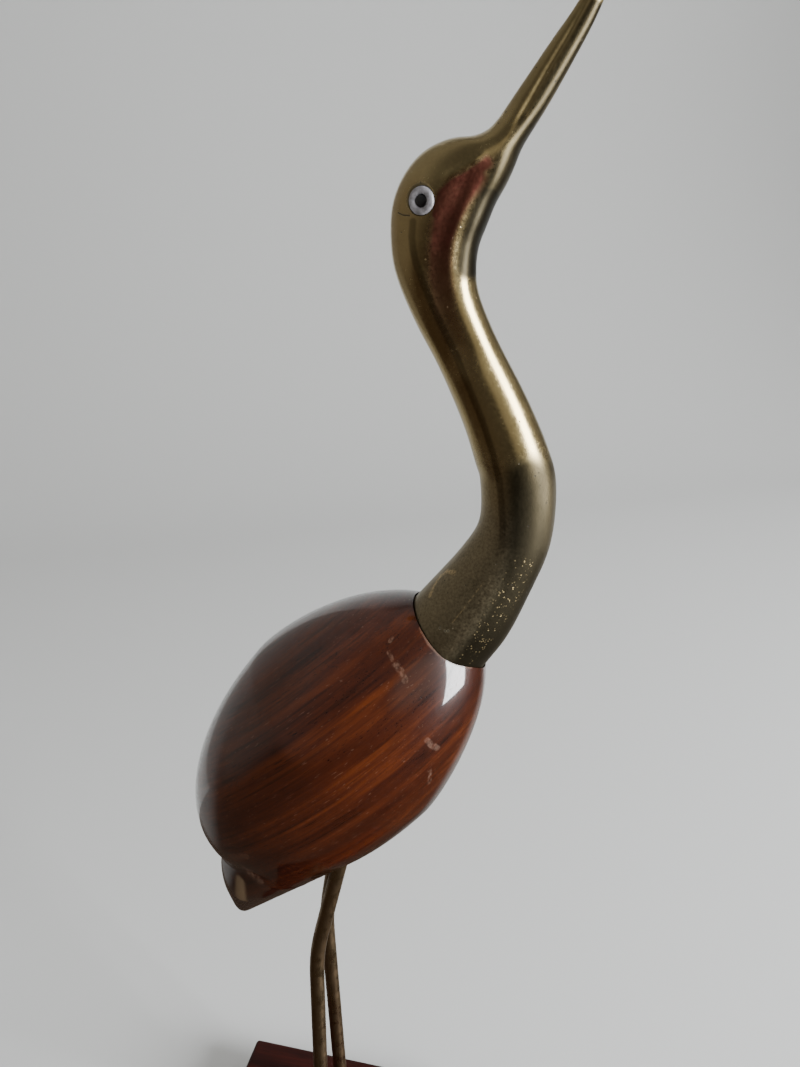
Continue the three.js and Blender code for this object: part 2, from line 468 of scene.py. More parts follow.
class Value:
    """One output that varies over a surface, with the arithmetic of numbers."""

    def __init__(self, graph: "Graph", socket: bpy.types.NodeSocket) -> None:
        """Wrap an output socket of a graph."""
        self.graph = graph
        self.socket = socket

    def _math(self, operation: str, first: "Input", second: "Input") -> "Value":
        """Add one Math node."""
        return self.graph.node("ShaderNodeMath", {"operation": operation}, {0: first, 1: second})

    def __add__(self, other: "Input") -> "Value":
        """Add."""
        return self._math("ADD", self, other)

    def __radd__(self, other: "Input") -> "Value":
        """Add to a plain number."""
        return self._math("ADD", other, self)

    def __sub__(self, other: "Input") -> "Value":
        """Subtract."""
        return self._math("SUBTRACT", self, other)

    def __rsub__(self, other: "Input") -> "Value":
        """Subtract from a plain number."""
        return self._math("SUBTRACT", other, self)

    def __mul__(self, other: "Input") -> "Value":
        """Multiply."""
        return self._math("MULTIPLY", self, other)

    def __rmul__(self, other: "Input") -> "Value":
        """Multiply a plain number."""
        return self._math("MULTIPLY", other, self)

    def largest(self, other: "Input") -> "Value":
        """Take the larger of two."""
        return self._math("MAXIMUM", self, other)


Input = Value | float | Sequence[float] | bpy.types.NodeSocket


@dataclass(frozen=True)
class Noise:
    """Smooth noise: its features' size in millimetres, its finer layers, its turn in radians.

    The range, if there is one, is what is read as 0 to 1.
    """

    size: Point3
    detail: float = 1.0
    roughness: float = 0.5
    distortion: float = 0.0
    read: Range | None = None
    turn: Point3 = (0.0, 0.0, 0.0)


def even(size: float, detail: float = 1.0, roughness: float = 0.5, read: Range | None = None) -> Noise:
    """Describe noise whose features are as long as wide.

    Args:
        size: Their size in millimetres.
        detail: How many finer layers of noise are added.
        roughness: How strong those are.
        read: The range that is read as 0 to 1, or nothing for the noise as it is.

    Returns:
        The noise.
    """
    return Noise((size, size, size), detail, roughness, read=read)


@dataclass(frozen=True)
class Mark:
    """A painted line: half width in millimetres, points from the feet, and strength.

    A line whose points have two numbers, forward and up, is drawn from the side, the same on both sides.
    """

    width: float
    path: tuple[Point2, ...] | tuple[Point3, ...]
    share: float = 1.0

    def mirrored(self) -> "Mark":
        """Give the same line on the bird's other side."""
        return replace(self, path=tuple((forward, -left, up) for forward, left, up in self.path))


class Graph:
    """A node tree that is built by expressions."""

    def __init__(self, tree: bpy.types.NodeTree) -> None:
        """Start from an empty tree."""
        self.tree = tree
        tree.nodes.clear()

    def node(self, kind: str, settings: dict[str, object], inputs: dict[int | str, Input],
             output: int | str = 0) -> Value:
        """Add any node.

        Args:
            kind: The node's type.
            settings: Its settings, set before its sockets.
            inputs: Values or links by socket name or number.
            output: The output that is returned.

        Returns:
            That output.
        """
        made = self.tree.nodes.new(kind)
        for key, setting in settings.items():
            setattr(made, key, setting)
        for key, value in inputs.items():
            if isinstance(value, Value):
                self.tree.links.new(value.socket, made.inputs[key])
            else:
                made.inputs[key].default_value = value
        return Value(self, made.outputs[output]) if made.outputs else Value(self, None)

    def place(self) -> Value:
        """Read the object's own coordinates."""
        return self.node("ShaderNodeTexCoord", {}, {}, "Object")

    def laid(self, size: Point3, turn: Point3 = (0.0, 0.0, 0.0)) -> Value:
        """Lay coordinates out in cells.

        Args:
            size: A cell's size along its own axes, in millimetres.
            turn: How the cells are turned, in radians.

        Returns:
            Coordinates that grow by one a cell.
        """
        return self.node("ShaderNodeMapping", {"vector_type": "TEXTURE"},
                         {"Vector": self.place(), "Rotation": turn, "Scale": [side * MM for side in size]})

    def noise(self, noise: Noise) -> Value:
        """Read noise.

        Args:
            noise: What it is like.

        Returns:
            The noise, or how far it is through its range.
        """
        value = self.node("ShaderNodeTexNoise", {}, {
            "Vector": self.laid(noise.size, noise.turn), "Scale": 1.0, "Detail": noise.detail,
            "Roughness": noise.roughness, "Distortion": noise.distortion})
        return self.rise(value, *noise.read) if noise.read else value

    def scattered(self, cell: float, size: Range) -> Value:
        """Scatter round dots, one in a cell.

        Args:
            cell: A cell's size in millimetres.
            size: How far from its middle a dot ends and where it is full, in cells.

        Returns:
            1 in a dot and 0 between them.
        """
        miss = self.node("ShaderNodeTexVoronoi", {}, {
            "Vector": self.laid((cell, cell, cell)), "Scale": 1.0, "Randomness": 1.0}, "Distance")
        return self.rise(miss, *size)

    def rise(self, value: Input, low: float, high: float) -> Value:
        """Go smoothly from 0 at one value to 1 at another.

        Args:
            value: What is read.
            low: The value that gives 0.
            high: The value that gives 1. It may be the smaller one.

        Returns:
            The share.
        """
        if low > high:
            return 1 - self.rise(value, high, low)
        return self.node("ShaderNodeMapRange", {"interpolation_type": "SMOOTHSTEP"},
                         {"Value": value, "From Min": low, "From Max": high})

    def mix(self, share: Input, first: Input, second: Input) -> Value:
        """Mix two colours.

        Args:
            share: How much of the second there is. Below 0 counts as 0 and above 1 as 1.
            first: One colour.
            second: The other.

        Returns:
            The mixed colour.
        """
        first, second = ((*colour, 1.0) if isinstance(colour, tuple) else colour
                         for colour in (first, second))
        return self.node("ShaderNodeMix", {"data_type": "RGBA"}, {0: share, 6: first, 7: second}, 2)

    def darken(self, colour: Input, share: Input) -> Value:
        """Multiply a colour by a grey.

        Args:
            colour: The colour.
            share: The grey.

        Returns:
            The darker colour.
        """
        grey = self.node("ShaderNodeCombineColor", {}, {0: share, 1: share, 2: share})
        return self.node("ShaderNodeMix", {"data_type": "RGBA", "blend_type": "MULTIPLY"},
                         {0: 1.0, 6: colour, 7: grey}, 2)

    def vector(self, operation: str, inputs: dict[int | str, Input], output: int | str = 0) -> Value:
        """Add one Vector Math node."""
        return self.node("ShaderNodeVectorMath", {"operation": operation}, inputs, output)

    def near_line(self, path: Sequence[Vector], width: float, from_side: bool = False) -> Value:
        """Mark a thin line over the surface.

        Args:
            path: The line's points, in metres.
            width: Its half width, in metres.
            from_side: Draw it as seen from the side, the same on both sides.

        Returns:
            1 on the line and 0 off it.
        """
        spans = []
        kept = (1.0, 0.0 if from_side else 1.0, 1.0)
        for start, end in zip(path[:-1], path[1:]):
            along = end - start
            offset = self.vector("SUBTRACT", {0: self.place(), 1: tuple(start)})
            offset = self.vector("MULTIPLY", {0: offset, 1: kept})
            reach = self.vector("DOT_PRODUCT", {0: offset, 1: tuple(along)}, "Value")
            share = self.node("ShaderNodeClamp", {}, {0: reach * (1 / along.length_squared)})
            foot = self.vector("SCALE", {0: tuple(along), "Scale": share})
            miss = self.vector("DISTANCE", {0: offset, 1: foot}, "Value")
            spans.append(self.rise(miss, width, width * FULL_WIDTH))
        return reduce(Value.largest, spans)

    def painted(self, marks: Sequence[Mark], wider: float = 1.0) -> Value:
        """Read how strongly lines are painted on the surface.

        Args:
            marks: The lines.
            wider: How many times as wide they are drawn.

        Returns:
            The strength of the strongest line.
        """
        return reduce(Value.largest, (
            self.near_line(placed(mark.path), mark.width * wider * MM, len(mark.path[0]) == 2) * mark.share
            for mark in marks))

    def near_spot(self, middle: Vector, radius: float, softness: float) -> Value:
        """Mark a round spot, 1 inside it and 0 outside."""
        miss = self.vector("DISTANCE", {0: self.place(), 1: tuple(middle)}, "Value")
        return self.rise(miss, radius, radius * (1 - softness))

    def bump(self, height: Value, strength: float, distance: float) -> Value:
        """Turn a height into a bumped normal."""
        return self.node("ShaderNodeBump", {}, {"Height": height, "Strength": strength,
                                                "Distance": distance})

    def surface(self, inputs: dict[int | str, Input]) -> None:
        """Finish a material's graph with its shader."""
        shader = self.node("ShaderNodeBsdfPrincipled", {}, inputs)
        self.node("ShaderNodeOutputMaterial", {}, {"Surface": shader})


def new_material(name: str, draw: Callable[[Graph], None]) -> bpy.types.Material:
    """Make a material.

    Args:
        name: Its name.
        draw: What builds its graph.

    Returns:
        The material.
    """
    material = bpy.data.materials.new(name)
    material.use_nodes = True
    draw(Graph(material.node_tree))
    return material


# Finishes


@dataclass(frozen=True)
class Finish:
    """A named material that is drawn by a shader graph.

    Its bump, if it has one, is a strength and a depth in metres. Other pairs of numbers are what something
    is at a share of 0 and of 1, or the two ends of a range.
    """

    title: ClassVar[str]

    def make(self) -> bpy.types.Material:
        """Build the material."""
        return new_material(self.title, self._draw)

    def _draw(self, graph: Graph) -> None:
        """Build the shader graph."""
        raise NotImplementedError


def blend(ends: Range, share: Value) -> Value:
    """Go from one number to another as a share goes from 0 to 1."""
    return ends[0] + share * (ends[1] - ends[0])


def wood_grain(length: float, width: float, layers: float = 6.0, detail: float = 1.0,
               roughness: float = 0.5, read: Range | None = None) -> Noise:
    """Describe noise stretched along the body's grain and along its layers.

    Args:
        length: A feature's length in millimetres.
        width: Its width in millimetres.
        layers: How many times as far it reaches along a layer as through it.
        detail: How many finer layers of noise are added.
        roughness: How strong those are.
        read: The range that is read as 0 to 1, or nothing for the noise as it is.

    Returns:
        The noise.
    """
    turn = (0.0, -math.radians(GRAIN_SLOPE), 0.0)
    return Noise((length, width * layers, width), detail, roughness, read=read, turn=turn)


@dataclass(frozen=True)
class BodyWood(Finish):
    """Dark red-brown wood with long streaks and pores under clear gloss lacquer."""

    title: ClassVar[str] = "lacquered_body_wood"
    dark: Colour = (0.0165, 0.0024, 0.0007)
    middle: Colour = (0.043, 0.0078, 0.0014)
    light: Colour = (0.09, 0.0185, 0.0025)
    pale: Colour = (0.34, 0.2, 0.13)
    end_grain: Colour = (0.17, 0.115, 0.065)
    tones: tuple[tuple[Noise, float], ...] = (
        (wood_grain(130.0, 7.0, 3.0), 0.4),
        (wood_grain(120.0, 1.9, detail=2.0), 0.36),
        (wood_grain(70.0, 0.5, detail=2.0, roughness=0.6), 0.28))
    tone_range: Range = (0.33, 0.76)
    dark_lines: Noise = wood_grain(80.0, 0.8, read=(0.58, 0.72))
    dark_line_depth: float = 0.45
    pores: Noise = wood_grain(7.0, 0.17, 1.5, read=(0.6, 0.7))
    clusters: Noise = wood_grain(24.0, 2.6, read=(0.45, 0.62))
    pore_depth: float = 0.65
    ticks: Noise = wood_grain(2.6, 0.24, 1.5, read=(0.66, 0.76))
    tick_share: float = 0.14
    # Painted shade: darker round the tail under the wing's end, and beside the neck's foot on the right
    # side. Each is a middle, a reach and a depth.
    painted_shades: tuple[tuple[Point3, float, float], ...] = (
        ((-8.5, 0.0, 83.0), 35.0, 0.68),
        ((23.0, -10.5, 143.5), 13.0, 0.36))
    painted_shade_softness: float = 0.85
    scuffs: tuple[Mark, ...] = (
        Mark(1.2, ((19.2, -12.3, 141.8), (20.1, -12.8, 140.8), (20.9, -13.1, 139.4))),
        Mark(0.7, ((17.7, -11.4, 143.4), (18.5, -12.1, 142.4))),
        Mark(0.6, ((17.9, -9.6, 145.4), (17.6, -10.2, 145.0))),
        Mark(1.0, ((24.9, -13.5, 128.3), (25.7, -12.9, 126.9), (26.6, -12.0, 125.8))),
        Mark(0.8, ((25.4, -12.3, 121.0), (25.1, -11.5, 118.0))),
        # The next two are painted sheen on the tail: a painted highlight on the wing end's lip and a
        # painted reflection on the tail's side.
        Mark(1.5, ((-13.6, -14.8, 96.8), (-10.8, -16.2, 99.0), (-9.2, -16.8, 99.9))),
        Mark(2.2, ((-10.6, -14.3, 94.4), (-8.4, -14.5, 91.6))))
    ragged_edge: Noise = Noise((0.9, 0.7, 1.2), 4.0, 0.75)
    ragged_edge_strength: float = 2.6
    scuff_and_sheen_range: Range = (0.6, 1.4)
    scratches: tuple[Mark, ...] = (
        Mark(0.62, ((22.6, -7.3, 146.7), (24.3, -8.6, 144.5), (25.9, -8.9, 143.1), (27.4, -8.6, 141.9),
                    (28.9, -7.9, 140.9), (30.2, -7.0, 140.1), (31.4, -5.7, 139.3)), 0.9),
        Mark(0.12, ((23.6, -14.3, 131.3), (24.9, -13.5, 128.3))),
        Mark(0.12, ((-14.0, -16.5, 109.7), (-8.4, -18.8, 110.8), (-3.6, -19.9, 110.6))),
        Mark(0.12, ((27.9, -9.7, 138.5), (29.8, -7.8, 138.1))),
        Mark(0.12, ((28.2, -10.0, 136.7), (29.7, -8.4, 136.9))))
    wear_and_sheen_strength: float = 0.7
    wear_and_sheen_share: float = 0.28
    tail_wear: Mark = Mark(1.9, ((-13.4, -12.8, 89.0), (-13.9, -11.9, 85.8), (-14.9, -9.6, 81.2)))
    tail_wear_share: float = 0.85
    rubbed_lacquer: Noise = Noise((0.25, 1.6, 1.6), 2.0, 0.6, read=(0.5, 0.7), turn=(0.0, 0.3, 0.5))
    rubbed_off: float = 0.3
    bare_share: float = 0.8
    rough: Range = (0.34, 0.64)
    relief: Point3 = (0.6, -0.5, -0.4)
    bump: Range = (0.25, 0.1 * MM)

    def _draw(self, graph: Graph) -> None:
        """Build the shader graph.

        Args:
            graph: The material's graph.
        """
        tone = sum(graph.noise(noise) * share for noise, share in self.tones)
        lightness = graph.rise(tone, *self.tone_range) * 2
        colour = graph.mix(lightness, self.dark, self.middle)
        colour = graph.mix(lightness - 1, colour, self.light)
        colour = graph.darken(colour, 1 - graph.noise(self.dark_lines) * self.dark_line_depth)
        clusters = graph.noise(self.clusters)
        pores = graph.noise(self.pores) * clusters
        colour = graph.darken(colour, 1 - pores * self.pore_depth)
        colour = graph.mix(graph.noise(self.ticks) * (1 - clusters) * self.tick_share, colour, self.pale)
        # Painted shade round the tail and beside the neck's foot.
        for place, reach, depth in self.painted_shades:
            shade = graph.near_spot(from_feet(*place), reach * MM, self.painted_shade_softness)
            colour = graph.darken(colour, 1 - depth * shade)
        # Scuffs and scratches are wear; with them come the painted highlight and the painted reflection on
        # the tail.
        scuffed_and_sheen = graph.painted(self.scuffs)
        ragged_edge = (graph.noise(self.ragged_edge) - 0.5) * self.ragged_edge_strength
        scuffed_and_sheen = scuffed_and_sheen * graph.rise(scuffed_and_sheen + ragged_edge, *self.scuff_and_sheen_range)
        wear_and_sheen = scuffed_and_sheen.largest(graph.painted(self.scratches)) * self.wear_and_sheen_strength
        colour = graph.mix(wear_and_sheen * self.wear_and_sheen_share, colour, self.pale)
        wear = graph.painted([self.tail_wear])
        colour = graph.mix(wear * self.tail_wear_share, colour, self.end_grain)
        rubbed = graph.noise(self.rubbed_lacquer) * self.rubbed_off
        bare = (wear_and_sheen.largest(wear) * self.bare_share).largest(rubbed)
        relief = sum(part * height for part, height in zip((tone, pores, wear_and_sheen), self.relief))
        graph.surface({
            "Base Color": colour,
            "Roughness": blend(self.rough, wear_and_sheen),
            "Coat Weight": 1 - bare,
            "Coat Roughness": 0.065,
            "Coat IOR": 1.65,
            "Specular IOR Level": 0.2,
            "Normal": graph.bump(relief, *self.bump),
        })


@dataclass(frozen=True)
class BaseWood(Finish):
    """Maroon stained wood with a satin lacquer."""

    title: ClassVar[str] = "stained_base_wood"
    dark: Colour = (0.013, 0.0018, 0.001)
    light: Colour = (0.04, 0.006, 0.0035)
    bands: Noise = Noise((60.0, 4.0, 6.0), 3.0, 0.6, 0.4)
    fibres: Noise = Noise((9.0, 0.35, 0.5), 2.0, 0.6)
    pores: Noise = Noise((4.0, 0.22, 0.3), read=(0.64, 0.74))
    band_share: float = 0.7
    tone_range: Range = (0.35, 0.68)
    pore_depth: float = 0.6
    rough: Range = (0.42, 0.58)
    bump: Range = (0.2, 0.1 * MM)

    def _draw(self, graph: Graph) -> None:
        """Build the shader graph.

        Args:
            graph: The material's graph.
        """
        fibres, pores = graph.noise(self.fibres), graph.noise(self.pores)
        tone = graph.noise(self.bands) * self.band_share + fibres * (1 - self.band_share)
        colour = graph.mix(graph.rise(tone, *self.tone_range), self.dark, self.light)
        graph.surface({
            "Base Color": graph.darken(colour, 1 - pores * self.pore_depth),
            "Roughness": blend(self.rough, fibres),
            "Specular IOR Level": 0.12,
            "Coat Weight": 0.08,
            "Coat Roughness": 0.3,
            "Normal": graph.bump(tone - pores, *self.bump),
        })


@dataclass(frozen=True)
class CastBrass(Finish):
    """Aged cast brass: polished above, dull and pitted at the foot, with a painted red reflection in the
    cheek's hollow and painted shade down the neck's front and under the beak.

    Ranges of height are in millimetres from the feet, and so are the drifts that make them uneven.
    """

    title: ClassVar[str] = "cast_brass"
    bright: Colour = (0.46, 0.362, 0.178)
    dull: Colour = (0.31, 0.264, 0.166)
    # Painted shade: the colour of the dark bands down the neck's front and under the beak, and a darker one
    # for their middles.
    painted_shade_colour: Colour = (0.1, 0.08, 0.045)
    deep_painted_shade_colour: Colour = (0.028, 0.0235, 0.0145)
    # The colour of the painted red reflection in the cheek's hollow.
    brown: Colour = (0.155, 0.036, 0.032)
    grime: Colour = (0.03, 0.024, 0.014)
    gold: Colour = (0.85, 0.66, 0.34)
    drift: Noise = even(9.0, 3.0, 0.6)
    speckle: Noise = even(0.45, 2.0, 0.6)
    cloud: Noise = even(3.2, 4.0, 0.65)
    ragged: Noise = even(0.5, 3.0, 0.7, (0.4, 0.55))
    polished: Range = (164.0, 184.0)
    polish_drift: float = 14.0
    beak: Range = (223.0, 234.0)
    beak_drift: float = 8.0
    beak_dulled: float = 0.15
    painted_reflection: Range = (184.0, 213.0)
    # Painted reflection: red-brown patches in the cheek's hollow under the brow, the same on both sides.
    hollow: tuple[Mark, ...] = (
        Mark(1.5, ((30.9, -3.9, 221.2), (28.6, -4.6, 219.3), (26.4, -5.3, 218.1), (24.9, -5.7, 216.7),
                   (24.2, -5.6, 214.2))),
        Mark(2.2, ((29.5, -4.2, 219.3), (27.4, -4.6, 216.3), (25.9, -5.1, 213.4), (24.9, -5.3, 210.0),
                   (24.5, -5.3, 206.0))),
        Mark(2.8, ((26.4, -5.0, 216.4), (25.2, -5.4, 213.6), (24.5, -5.4, 209.5), (24.4, -5.3, 205.5),
                   (25.3, -5.0, 200.0), (27.3, -4.8, 195.0), (29.7, -4.8, 189.5), (32.0, -4.9, 184.5))))
    # Painted shade: bands down the front of the neck's bend, along the throat and under the beak.
    front_painted_shade: Mark = Mark(5.0, ((31.0, 139.0), (36.0, 146.0), (39.8, 153.0), (42.6, 161.0),
                                     (43.8, 168.0), (43.6, 173.0)))
    beak_painted_shade: tuple[Mark, ...] = (
        Mark(2.2, ((28.6, 206.5), (28.9, 209.6), (30.0, 213.0), (31.5, 216.6))),
        Mark(1.8, ((31.5, 216.6), (33.3, 220.3), (35.4, 223.8), (36.6, 226.0)), 0.85),
        Mark(1.05, ((33.3, 220.3), (35.4, 223.8), (38.4, 229.2), (42.1, 235.4), (45.1, 240.9)), 0.85))
    bend_painted_shade: Mark = Mark(4.9, ((30.8, 139.4), (35.4, 147.3), (38.5, 153.6), (40.0, 160.5),
                                    (40.2, 166.5), (39.6, 174.2)), 0.92)
    painted_shade_rim: float = 1.2
    painted_shade_rim_share: float = 0.9
    # Painted shade: a dark line along the nape's crease, fading out towards the foot.
    crease: Mark = Mark(0.8, ((20.3, 213.1), (20.1, 211.1), (20.3, 209.1), (20.9, 206.9), (22.0, 204.0),
                              (23.3, 201.0), (25.1, 197.3), (27.1, 193.5), (29.3, 188.8), (31.7, 183.4),
                              (33.5, 178.6), (34.9, 173.7), (35.4, 170.5), (35.9, 166.1), (35.9, 162.8),
                              (35.4, 160.2), (34.2, 157.7)), 0.42)
    crease_fade: Range = (157.5, 167.0)
    scuff: Mark = Mark(0.6, ((23.4, -4.3, 151.6), (24.2, -3.0, 153.3), (25.0, -2.4, 154.8),
                             (26.3, -3.0, 156.1), (27.8, -4.5, 156.4)), 0.55)
    scratch: Mark = Mark(0.16, ((28.1, -8.2, 148.6), (29.7, -7.9, 150.9), (33.1, -7.1, 156.1)), 0.5)
    flecks: Mark = Mark(3.0, ((39.1, -5.8, 158.5), (37.4, -6.2, 153.8), (35.3, -6.7, 149.8),
                              (33.4, -7.0, 146.0), (31.0, -7.2, 141.8)), 0.6)
    fleck_cell: float = 0.5
    fleck_size: Range = (0.36, 0.16)
    fleck_crowds: Noise = even(1.1, read=(0.46, 0.6))
    dot_cell: float = 1.5
    dot_size: Range = (0.13, 0.07)
    dot_crowds: Noise = even(4.0, 2.0, read=(0.5, 0.6))
    pits: tuple[Point3, ...] = (
        (19.7, -4.8, 217.5), (20.1, -4.9, 218.0), (21.5, -4.9, 218.5), (26.1, -8.0, 147.4),
        (27.5, -8.3, 147.1), (26.8, -8.2, 147.0))
    pit_radius: float = 0.42
    pit_softness: float = 0.5
    crack: Mark = Mark(0.17, ((17.7, -3.8, 214.5), (18.6, -4.5, 214.1), (19.7, -5.1, 214.0)))
    eye_grime: Point3 = (-0.25, 0.0, 0.3)
    eye_grime_radius: float = 2.5
    eye_grime_softness: float = 0.2
    eye_grime_share: float = 0.9
    shade: Range = (0.78, 1.08)
    grain: Range = (1.15, 0.25)
    front_clouds: Range = (0.5, 1.0)
    painted_reflection_clouds: Range = (0.8, 1.0)
    pit_share: float = 0.85
    metallic: Range = (1.0, 0.4)
    rough: Range = (0.42, 0.22)
    marked_rough: float = 0.14
    speckle_rough: float = 0.2
    cloud_rough: float = 0.12
    pit_rough: float = 0.3
    cloud_relief: float = 0.7
    speckle_relief: float = 0.35
    polish_relief: Range = (1.0, 0.4)
    pit_relief: float = 0.8
    bump: Range = (0.22, 0.16 * MM)

    def _draw(self, graph: Graph) -> None:
        """Build the shader graph.

        Args:
            graph: The material's graph.
        """
        drift, speckle, cloud = (graph.noise(noise) for noise in (self.drift, self.speckle, self.cloud))
        polish = self._zone(graph, self.polished, (drift - 0.5) * (self.polish_drift * MM))
        beak = self._zone(graph, self.beak, (drift - 0.5) * (self.beak_drift * MM))
        colour = graph.mix(polish, self.dull, self.bright)
        shade = blend(self.shade, cloud) + (speckle - 0.5) * blend(self.grain, polish)
        colour = graph.darken(colour, shade * (1 - self.beak_dulled * beak))

        # Painted shade down the neck's front and under the beak.
        deep_painted_shade = graph.painted([self.bend_painted_shade, *self.beak_painted_shade])
        front = graph.painted([self.front_painted_shade]) * blend(self.front_clouds, cloud)
        rim = graph.painted(self.beak_painted_shade, self.painted_shade_rim) * self.painted_shade_rim_share
        colour = graph.mix(front.largest(rim), colour, self.painted_shade_colour)
        colour = graph.mix(deep_painted_shade, colour, self.deep_painted_shade_colour)

        # Painted red reflection in the cheek's hollow.
        hollow = graph.painted([*self.hollow, *(mark.mirrored() for mark in self.hollow)])
        painted_reflection = hollow * self._zone(graph, self.painted_reflection) * blend(self.painted_reflection_clouds, cloud)
        colour = graph.mix(painted_reflection, colour, self.brown)

        ragged = graph.noise(self.ragged)
        flecks = graph.scattered(self.fleck_cell, self.fleck_size) * graph.noise(self.fleck_crowds)
        rubbed = (graph.painted([self.flecks]) * flecks).largest(
            graph.painted([self.scuff, self.scratch]) * ragged)
        colour = graph.mix(rubbed, colour, self.gold)

        pitted = self._pitted(graph, ragged)
        colour = graph.mix(pitted * self.pit_share, colour, self.grime)
        # Painted shade along the nape's crease.
        crease = graph.painted([self.crease]) * self._zone(graph, self.crease_fade)
        rough = blend(self.rough, polish) + (painted_reflection + deep_painted_shade.largest(beak)) * self.marked_rough
        rough = rough + (speckle - 0.5) * self.speckle_rough + (cloud - 0.5) * self.cloud_rough
        relief = cloud * self.cloud_relief + speckle * self.speckle_relief
        relief = relief * blend(self.polish_relief, polish) - pitted * self.pit_relief
        graph.surface({
            "Base Color": graph.darken(colour, 1 - crease),
            "Metallic": blend(self.metallic, pitted),
            "Roughness": rough + pitted * self.pit_rough,
            "Normal": graph.bump(relief, *self.bump),
        })

    @staticmethod
    def _zone(graph: Graph, heights: Range, drift: Value | float = 0.0) -> Value:
        """Go from 0 to 1 between two heights.

        Args:
            graph: The material's graph.
            heights: Both heights, in millimetres from the feet.
            drift: How far they are moved here, in metres.

        Returns:
            The share.
        """
        height = graph.node("ShaderNodeSeparateXYZ", {}, {0: graph.place()}, "Z")
        return graph.rise(height + drift, *(from_feet(0, 0, end).z for end in heights))

    def _pitted(self, graph: Graph, ragged: Value) -> Value:
        """Find the pits, the crack and the grime round the eyes.

        Args:
            graph: The material's graph.
            ragged: What breaks up the edges of the larger pits.

        Returns:
            1 in a pit and 0 elsewhere.
        """
        pitted = graph.scattered(self.dot_cell, self.dot_size) * graph.noise(self.dot_crowds)
        for spot in self.pits:
            pit = graph.near_spot(from_feet(*spot), self.pit_radius * MM, self.pit_softness)
            pitted = pitted.largest(pit * ragged)
        pitted = pitted.largest(graph.painted([self.crack]))
        for side in Side:
            low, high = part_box(f"eye_ring_{side.node_end}")
            middle = (low + high) / 2 + Vector(self.eye_grime) * MM
            round_eye = graph.near_spot(middle, self.eye_grime_radius * MM, self.eye_grime_softness)
            pitted = pitted.largest(round_eye * self.eye_grime_share)
        return pitted


@dataclass(frozen=True)
class RodBrass(Finish):
    """Drawn brass rod, browned with age."""

    title: ClassVar[str] = "rod_brass"
    bright: Colour = (0.33, 0.26, 0.155)
    brown: Colour = (0.21, 0.145, 0.083)
    drawn: Noise = Noise((0.3, 0.3, 14.0), 2.0, 0.6)
    cloud: Noise = even(2.6, 4.0, 0.65)
    cloud_share: float = 0.7
    aged_range: Range = (0.36, 0.64)
    rough: Range = (0.24, 0.44)
    drawn_relief: float = 0.4
    cloud_relief: float = 0.6
    bump: Range = (0.15, 0.1 * MM)

    def _draw(self, graph: Graph) -> None:
        """Build the shader graph.

        Args:
            graph: The material's graph.
        """
        drawn, cloud = graph.noise(self.drawn), graph.noise(self.cloud)
        aged = graph.rise(cloud * self.cloud_share + drawn * (1 - self.cloud_share), *self.aged_range)
        graph.surface({
            "Base Color": graph.mix(aged, self.bright, self.brown),
            "Metallic": 1.0,
            "Roughness": blend(self.rough, aged),
            "Normal": graph.bump(drawn * self.drawn_relief + cloud * self.cloud_relief, *self.bump),
        })


@dataclass(frozen=True)
class EyeShell(Finish):
    """Pale grey glossy inlay, a little cloudy."""

    title: ClassVar[str] = "pale_eye_shell"
    pale: Colour = (0.28, 0.268, 0.288)
    dusky: Colour = (0.14, 0.132, 0.14)
    cloud: Noise = even(0.9, 3.0, 0.6)
    dusky_range: Range = (0.35, 0.7)
    rough: Range = (0.28, 0.43)
    bump: Range = (0.1, 0.08 * MM)

    def _draw(self, graph: Graph) -> None:
        """Build the shader graph.

        Args:
            graph: The material's graph.
        """
        cloud = graph.noise(self.cloud)
        graph.surface({
            "Base Color": graph.mix(graph.rise(cloud, *self.dusky_range), self.pale, self.dusky),
            "Roughness": blend(self.rough, cloud),
            "Coat Weight": 0.6,
            "Coat Roughness": 0.1,
            "Normal": graph.bump(cloud, *self.bump),
        })


@dataclass(frozen=True)
class EyeJet(Finish):
    """Black glossy inlay."""

    title: ClassVar[str] = "black_eye_inlay"
    black: Colour = (0.004, 0.004, 0.0045)
    dust: Colour = (0.02, 0.02, 0.022)
    dusting: Noise = even(0.25, 3.0, 0.7)
    dust_range: Range = (0.5, 0.75)
    rough: Range = (0.16, 0.34)

    def _draw(self, graph: Graph) -> None:
        """Build the shader graph.

        Args:
            graph: The material's graph.
        """
        dusting = graph.noise(self.dusting)
        graph.surface({
            "Base Color": graph.mix(graph.rise(dusting, *self.dust_range), self.black, self.dust),
            "Roughness": blend(self.rough, dusting),
            "Coat Weight": 0.5,
            "Coat Roughness": 0.08,
        })


# The pieces


@dataclass(frozen=True)
class Slab:
    """The wood base, as long and wide as the model's, with a drilled socket for each leg."""

    eased: float = 0.9 * MM
    ease_steps: int = 4
    socket_fit: float = 0.1 * MM
    sharp: float = 40.0

    def build(self, legs: Sequence["RodLeg"]) -> bpy.types.Object:
        """Model and dress the base.

        Args:
            legs: The legs whose sockets are drilled.

        Returns:
            The base.
        """
        bpy.ops.mesh.primitive_cube_add(size=1, location=(SLAB_LOW + SLAB_HIGH) / 2)
        slab = bpy.context.object
        slab.scale = SLAB_HIGH - SLAB_LOW
        settle(slab)
        with editing(slab):
            bpy.ops.mesh.select_all(action="SELECT")
            bpy.ops.mesh.bevel(offset=self.eased, segments=self.ease_steps, affect="EDGES")
        for leg in legs:
            cut_away(slab, leg.rod(self.socket_fit))
        face_outward(slab)
        return finish_piece(slab, "base_wood", ["base"], BaseWood().make(),
                            self.sharp)


